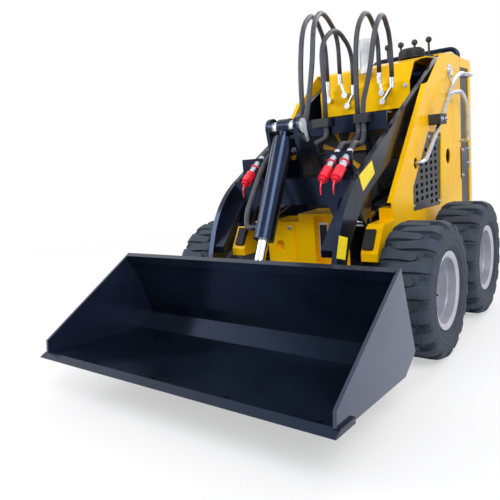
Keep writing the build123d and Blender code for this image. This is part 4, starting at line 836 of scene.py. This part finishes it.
def tread_lug(half):
    """Mesh of one lug on +Z of a wheel round the X axis; half is the side that its foot is on."""
    shape = bmesh.new()
    sections = []
    for x, half_width, drop in lug_sections:
        top = tread_radius - drop
        middle = lug_slant * (x - lug_nose) / lug_reach
        ring = []
        for share in lug_shares:
            radius = top - lug_wall_depth if abs(share) == 1.0 else top
            angle = (middle + share * half_width) / tread_radius
            ring.append(shape.verts.new((half * x, radius * math.sin(angle), radius * math.cos(angle))))
        sections.append(ring)
    for before, after in zip(sections, sections[1:]):
        joined_rings(shape, before, after)
    shape.faces.new(sections[0])
    shape.faces.new(list(reversed(sections[-1])))
    return finished(shape, "tread_lug")


def shoulder_ribs(half):
    """Mesh of three thin ribs on the shoulder between two lug feet."""
    shape = bmesh.new()
    for step in rib_steps:
        ring = []
        for x, radius in rib_corners:
            for edge in (-rib_half, rib_half):
                angle = (rib_start + lug_slant + step + edge) / tread_radius
                ring.append(shape.verts.new((half * x, radius * math.sin(angle), radius * math.cos(angle))))
        low, high = ring[0::2], ring[1::2]
        shape.faces.new(low)
        shape.faces.new(list(reversed(high)))
        joined_rings(shape, high, low)
    return finished(shape, "shoulder_ribs")


# Rows are X and radius of the carcass from the bead to the middle of the crown, on one side
carcass_half = (
    (0.0752, 0.1275),
    (0.0812, 0.1465),
    (0.0855, 0.1520),
    (0.0905, 0.1600),
    (0.0935, 0.1640),
    (0.0952, 0.1648),
    (0.0958, 0.1672),
    (0.0948, 0.1690),
    (0.0960, 0.1780),
    (0.0972, 0.1880),
    (0.0984, 0.1895),
    (0.0986, 0.1925),
    (0.0974, 0.1945),
    (0.0972, 0.2060),
    (0.0955, 0.2180),
    (0.0915, 0.2280),
    (0.0840, 0.2355),
    (0.0700, 0.2400),
    (0.0350, 0.2420),
)
carcass_segments = 96


def tyre_carcass(name, centre):
    """Closed mesh of the tyre without its tread, round its wheel's centre."""
    profile = list(carcass_half) + [(-x, r) for x, r in reversed(carcass_half)]
    shape = bmesh.new()
    rings = []
    for index in range(carcass_segments):
        angle = index * math.tau / carcass_segments
        across, along = math.sin(angle), math.cos(angle)
        points = [(centre[0] + x, centre[1] + r * across, centre[2] + r * along) for x, r in profile]
        rings.append([shape.verts.new(point) for point in points])
    for index, ring in enumerate(rings):
        joined_rings(shape, ring, rings[(index + 1) % carcass_segments])
    for face in shape.faces:
        face.smooth = True
    return finished(shape, name)


valve_sides, valve_foot_radius, valve_tip_radius, valve_length = 14, 0.0055, 0.0040, 0.034
valve_out, valve_forward, valve_rise = 0.064, 0.104, 0.010


def tyre_valve(centre, side):
    """Mesh of the rubber valve stem that stands out of a wheel's rim."""
    shape = bmesh.new()
    bmesh.ops.create_cone(
        shape,
        cap_ends=True,
        segments=valve_sides,
        radius1=valve_foot_radius,
        radius2=valve_tip_radius,
        depth=valve_length,
    )
    outwards = Matrix.Rotation(math.radians(90 * side), 3, "Y")
    bmesh.ops.rotate(shape, cent=(0, 0, 0), matrix=outwards, verts=shape.verts[:])
    place = (centre[0] + side * valve_out, centre[1] - valve_forward, centre[2] + valve_rise)
    bmesh.ops.translate(shape, vec=place, verts=shape.verts[:])
    return finished(shape, "tyre_valve")


wheel_centre_x, wheel_centre_z, front_axle_y, rear_axle_y = 0.471, 0.254, -0.210, 0.370
for place, side, axle_y in (
    ("front_left", 1, front_axle_y),
    ("front_right", -1, front_axle_y),
    ("rear_left", 1, rear_axle_y),
    ("rear_right", -1, rear_axle_y),
):
    centre = (side * wheel_centre_x, axle_y, wheel_centre_z)
    paint(rim_silver, "rim_" + place)
    carcass = new_piece(
        "carcass_" + place, tyre_carcass("carcass_" + place, centre), tyre_rubber, "wheel_" + place
    )
    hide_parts("tyre_" + place)
    for half_name, half in (("outer", side), ("inner", -side)):
        lug, ribs = tread_lug(half), shoulder_ribs(half)
        if half == -side:
            lug.transform(Matrix.Rotation(lug_pitch / 2, 4, "X"))
            ribs.transform(Matrix.Rotation(lug_pitch / 2, 4, "X"))
        set_in_ring("tread_" + half_name + "_" + place, lug, lug_count, centre, tyre_rubber, "wheel_" + place)
        set_in_ring("ribs_" + half_name + "_" + place, ribs, lug_count, centre, tyre_rubber, "wheel_" + place)
    new_piece("tyre_valve_" + place, tyre_valve(centre, side), pad_rubber, "wheel_" + place)
    set_in_ring("wheel_nuts_" + place, wheel_nut(side), nut_count, centre, zinc_plate, "wheel_" + place)

# Boom: two arms cut from thick plate and bent in side view, with the cross members and the tilt
# bracket welded between them, all in black enamel.
paint(black_enamel, "arm_left", "arm_right", "lower_cross_member", "upper_cross_member", "tilt_bracket")

# Sign plates: blank yellow film on the outer face of the left arm, one beside the couplers and one
# near the arm's foot.
# Sign film: bright, even yellow, paler than the enamel
sign_film = surface(
    "sign_film",
    colours=("#F7E01E", "#FFE92E"),
    roughness=(0.3, 0.4),
    patch_mm=40,
    grain_mm=1.5,
    grain_depth_mm=0.01,
)
arm_face_x, sign_thickness, sign_bevel = 0.2888, 0.0012, 0.0006
# Corners are Y and Z on the arm's face
sign_outlines = (
    ("sign_diamond", ((-0.214, 0.739), (-0.193, 0.688), (-0.304, 0.632), (-0.332, 0.691))),
    ("sign_foot", ((-0.512, 0.504), (-0.449, 0.485), (-0.478, 0.412), (-0.541, 0.431))),
)


def sign_plate(name, outline):
    """A thin plate in side view, standing out from the arm's outer face."""
    shape = bmesh.new()
    flat = shape.faces.new([shape.verts.new((arm_face_x, y, z)) for y, z in outline])
    raised = bmesh.ops.extrude_face_region(shape, geom=[flat])
    for vertex in [part for part in raised["geom"] if isinstance(part, bmesh.types.BMVert)]:
        vertex.co.x += sign_thickness
    bmesh.ops.recalc_face_normals(shape, faces=shape.faces[:])
    bmesh.ops.bevel(
        shape, geom=shape.edges[:], offset=sign_bevel, segments=1, affect="EDGES", clamp_overlap=True
    )
    return new_piece(name, finished(shape, name), sign_film, "boom")


for sign_name, sign_outline in sign_outlines:
    sign_plate(sign_name, sign_outline)

# Hydraulic cylinders: honed barrels in black enamel, hung on pins at both ends. Their rods are ground
# and hard chromed.
paint(black_enamel, "tilt_cylinder_barrel", "lift_cylinder_barrel_left", "lift_cylinder_barrel_right")
# Chrome plate: close to a mirror, the brightest finish on the machine
chrome_plate = surface(
    "chrome_plate",
    colours=("#DDE0E6", "#EEF0F4"),
    roughness=(0.05, 0.1),
    patch_mm=60,
    grain_mm=0.8,
    grain_depth_mm=0.004,
    metallic=1.0,
)
paint(chrome_plate, "tilt_cylinder_rod", "lift_cylinder_rod_left", "lift_cylinder_rod_right")

# Fittings and couplers: turned steel, zinc plated. The couplers at the front of the boom wear
# moulded dust caps of bright red plastic.
paint(zinc_plate, "hose_fittings", "quick_couplers")
# Red plastic: full, even red with a light gloss
red_plastic = surface(
    "red_plastic",
    colours=("#D8182F", "#F32540"),
    roughness=(0.28, 0.38),
    patch_mm=25,
    grain_mm=1.0,
    grain_depth_mm=0.02,
    coat=0.2,
)
paint(red_plastic, "coupler_caps")

# Cap straps: moulded in red with the caps. A thin tail hangs from each cap's nose, and the ring that
# keeps the cap sits round its coupler.
tail_radius = 0.0042
# Rows are Y, Z and the share of the tail's radius, from the cap's nose down
tail_points = ((-0.398, 0.688, 1.0), (-0.411, 0.674, 0.9), (-0.417, 0.656, 0.7), (-0.415, 0.634, 0.45))
collar_y, collar_z, collar_tilt = -0.320, 0.742, math.radians(215)
collar_radius, collar_bar_radius, collar_corners = 0.0178, 0.0026, 24


def red_line(name, points, radius, closed):
    """A round bar of red plastic along points of X, Y, Z and a share of its radius, as a plain piece."""
    line = bpy.data.curves.new(name, "CURVE")
    line.dimensions = "3D"
    line.resolution_u = 8
    line.bevel_depth = radius
    line.bevel_resolution = 3
    line.use_fill_caps = True
    spline = line.splines.new("POLY" if closed else "NURBS")
    spline.points.add(len(points) - 1)
    for point, (x, y, z, share) in zip(spline.points, points):
        point.co = (x, y, z, 1)
        point.radius = share
    spline.use_cyclic_u = closed
    spline.use_endpoint_u = True
    spline.order_u = 3
    holder = bpy.data.objects.new("red_line", line)
    scene.collection.objects.link(holder)
    bpy.context.view_layer.update()
    mesh = bpy.data.meshes.new_from_object(holder.evaluated_get(bpy.context.evaluated_depsgraph_get()))
    bpy.data.objects.remove(holder)
    return new_piece(name, mesh, red_plastic, "boom")


for cap_name, cap_x in (("left_inner", 0.176), ("left_outer", 0.228), ("right", -0.176)):
    tail = [(cap_x, y, z, share) for y, z, share in tail_points]
    red_line("cap_tail_" + cap_name, tail, tail_radius, False)
    collar = []
    for index in range(collar_corners):
        angle = index * math.tau / collar_corners
        out, rise = collar_radius * math.cos(angle), collar_radius * math.sin(angle)
        collar.append(
            (
                cap_x + out,
                collar_y - rise * math.sin(collar_tilt),
                collar_z + rise * math.cos(collar_tilt),
                1.0,
            )
        )
    red_line("cap_collar_" + cap_name, collar, collar_bar_radius, True)

# Hydraulic hoses: rubber over wire braid. Those from the panel to the boom and from the bracket to
# the cylinder are merged copies of their CAD solids.
# Hose rubber: dull, dark grey, with a fine grain
hose_rubber = surface(
    "hose_rubber",
    colours=("#33343D", "#43444E"),
    roughness=(0.48, 0.62),
    patch_mm=30,
    grain_mm=1.3,
    grain_depth_mm=0.08,
)
paint(hose_rubber, "coupler_hoses")
hose_merge_distance = 0.00002


def bending_hose(name, node):
    """A merged, smooth-shaded copy of a hose's CAD solid, which takes the place of the CAD node."""
    shape = bmesh.new()
    shape.from_mesh(nodes[node].data)
    bmesh.ops.remove_doubles(shape, verts=shape.verts[:], dist=hose_merge_distance)
    mesh = bpy.data.meshes.new(name)
    shape.to_mesh(mesh)
    shape.free()
    mesh.materials.append(hose_rubber)
    for polygon in mesh.polygons:
        polygon.use_smooth = True
    piece = bpy.data.objects.new(name, mesh)
    scene.collection.objects.link(piece)
    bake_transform(piece)
    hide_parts(node)
    return piece


bending_hose(
    "boom_hose_loops", "boom_hoses"
)
bending_hose(
    "tilt_hose_run", "tilt_hose"
)

# Bucket: rolled plate with end plates and a folded rim, all in black enamel. In the photograph it is
# near black inside, and its end plates catch the most light.
# Bucket enamel: near black and glossy, with a painted blue tint on its reflections in place of sky light
bucket_enamel = surface(
    "bucket_enamel",
    colours=("#090E16", "#121A26"),
    roughness=(0.14, 0.24),
    patch_mm=260,
    grain_mm=4.0,
    grain_depth_mm=0.03,
    coat=0.1,
    gloss=0.5,
    reflection="#8FB0F5",
)
# End plate enamel: a lit copy of the bucket's enamel. Its paler base colour is painted light, and its
# stronger reflections carry a painted blue tint, for the light on the end plates
lit_side_enamel = surface(
    "lit_side_enamel",
    colours=("#1B2336", "#262F45"),
    roughness=(0.18, 0.28),
    patch_mm=260,
    grain_mm=4.0,
    grain_depth_mm=0.03,
    metallic=0.35,
    coat=0.6,
    gloss=0.9,
    reflection="#B4C4F2",
)
paint(bucket_enamel, "bucket_shell", "cutting_edge", "attach_plate")
# The end plates take the lit copy, with the light on them painted into its paler base colour
paint(lit_side_enamel, "bucket_side_left", "bucket_side_right")
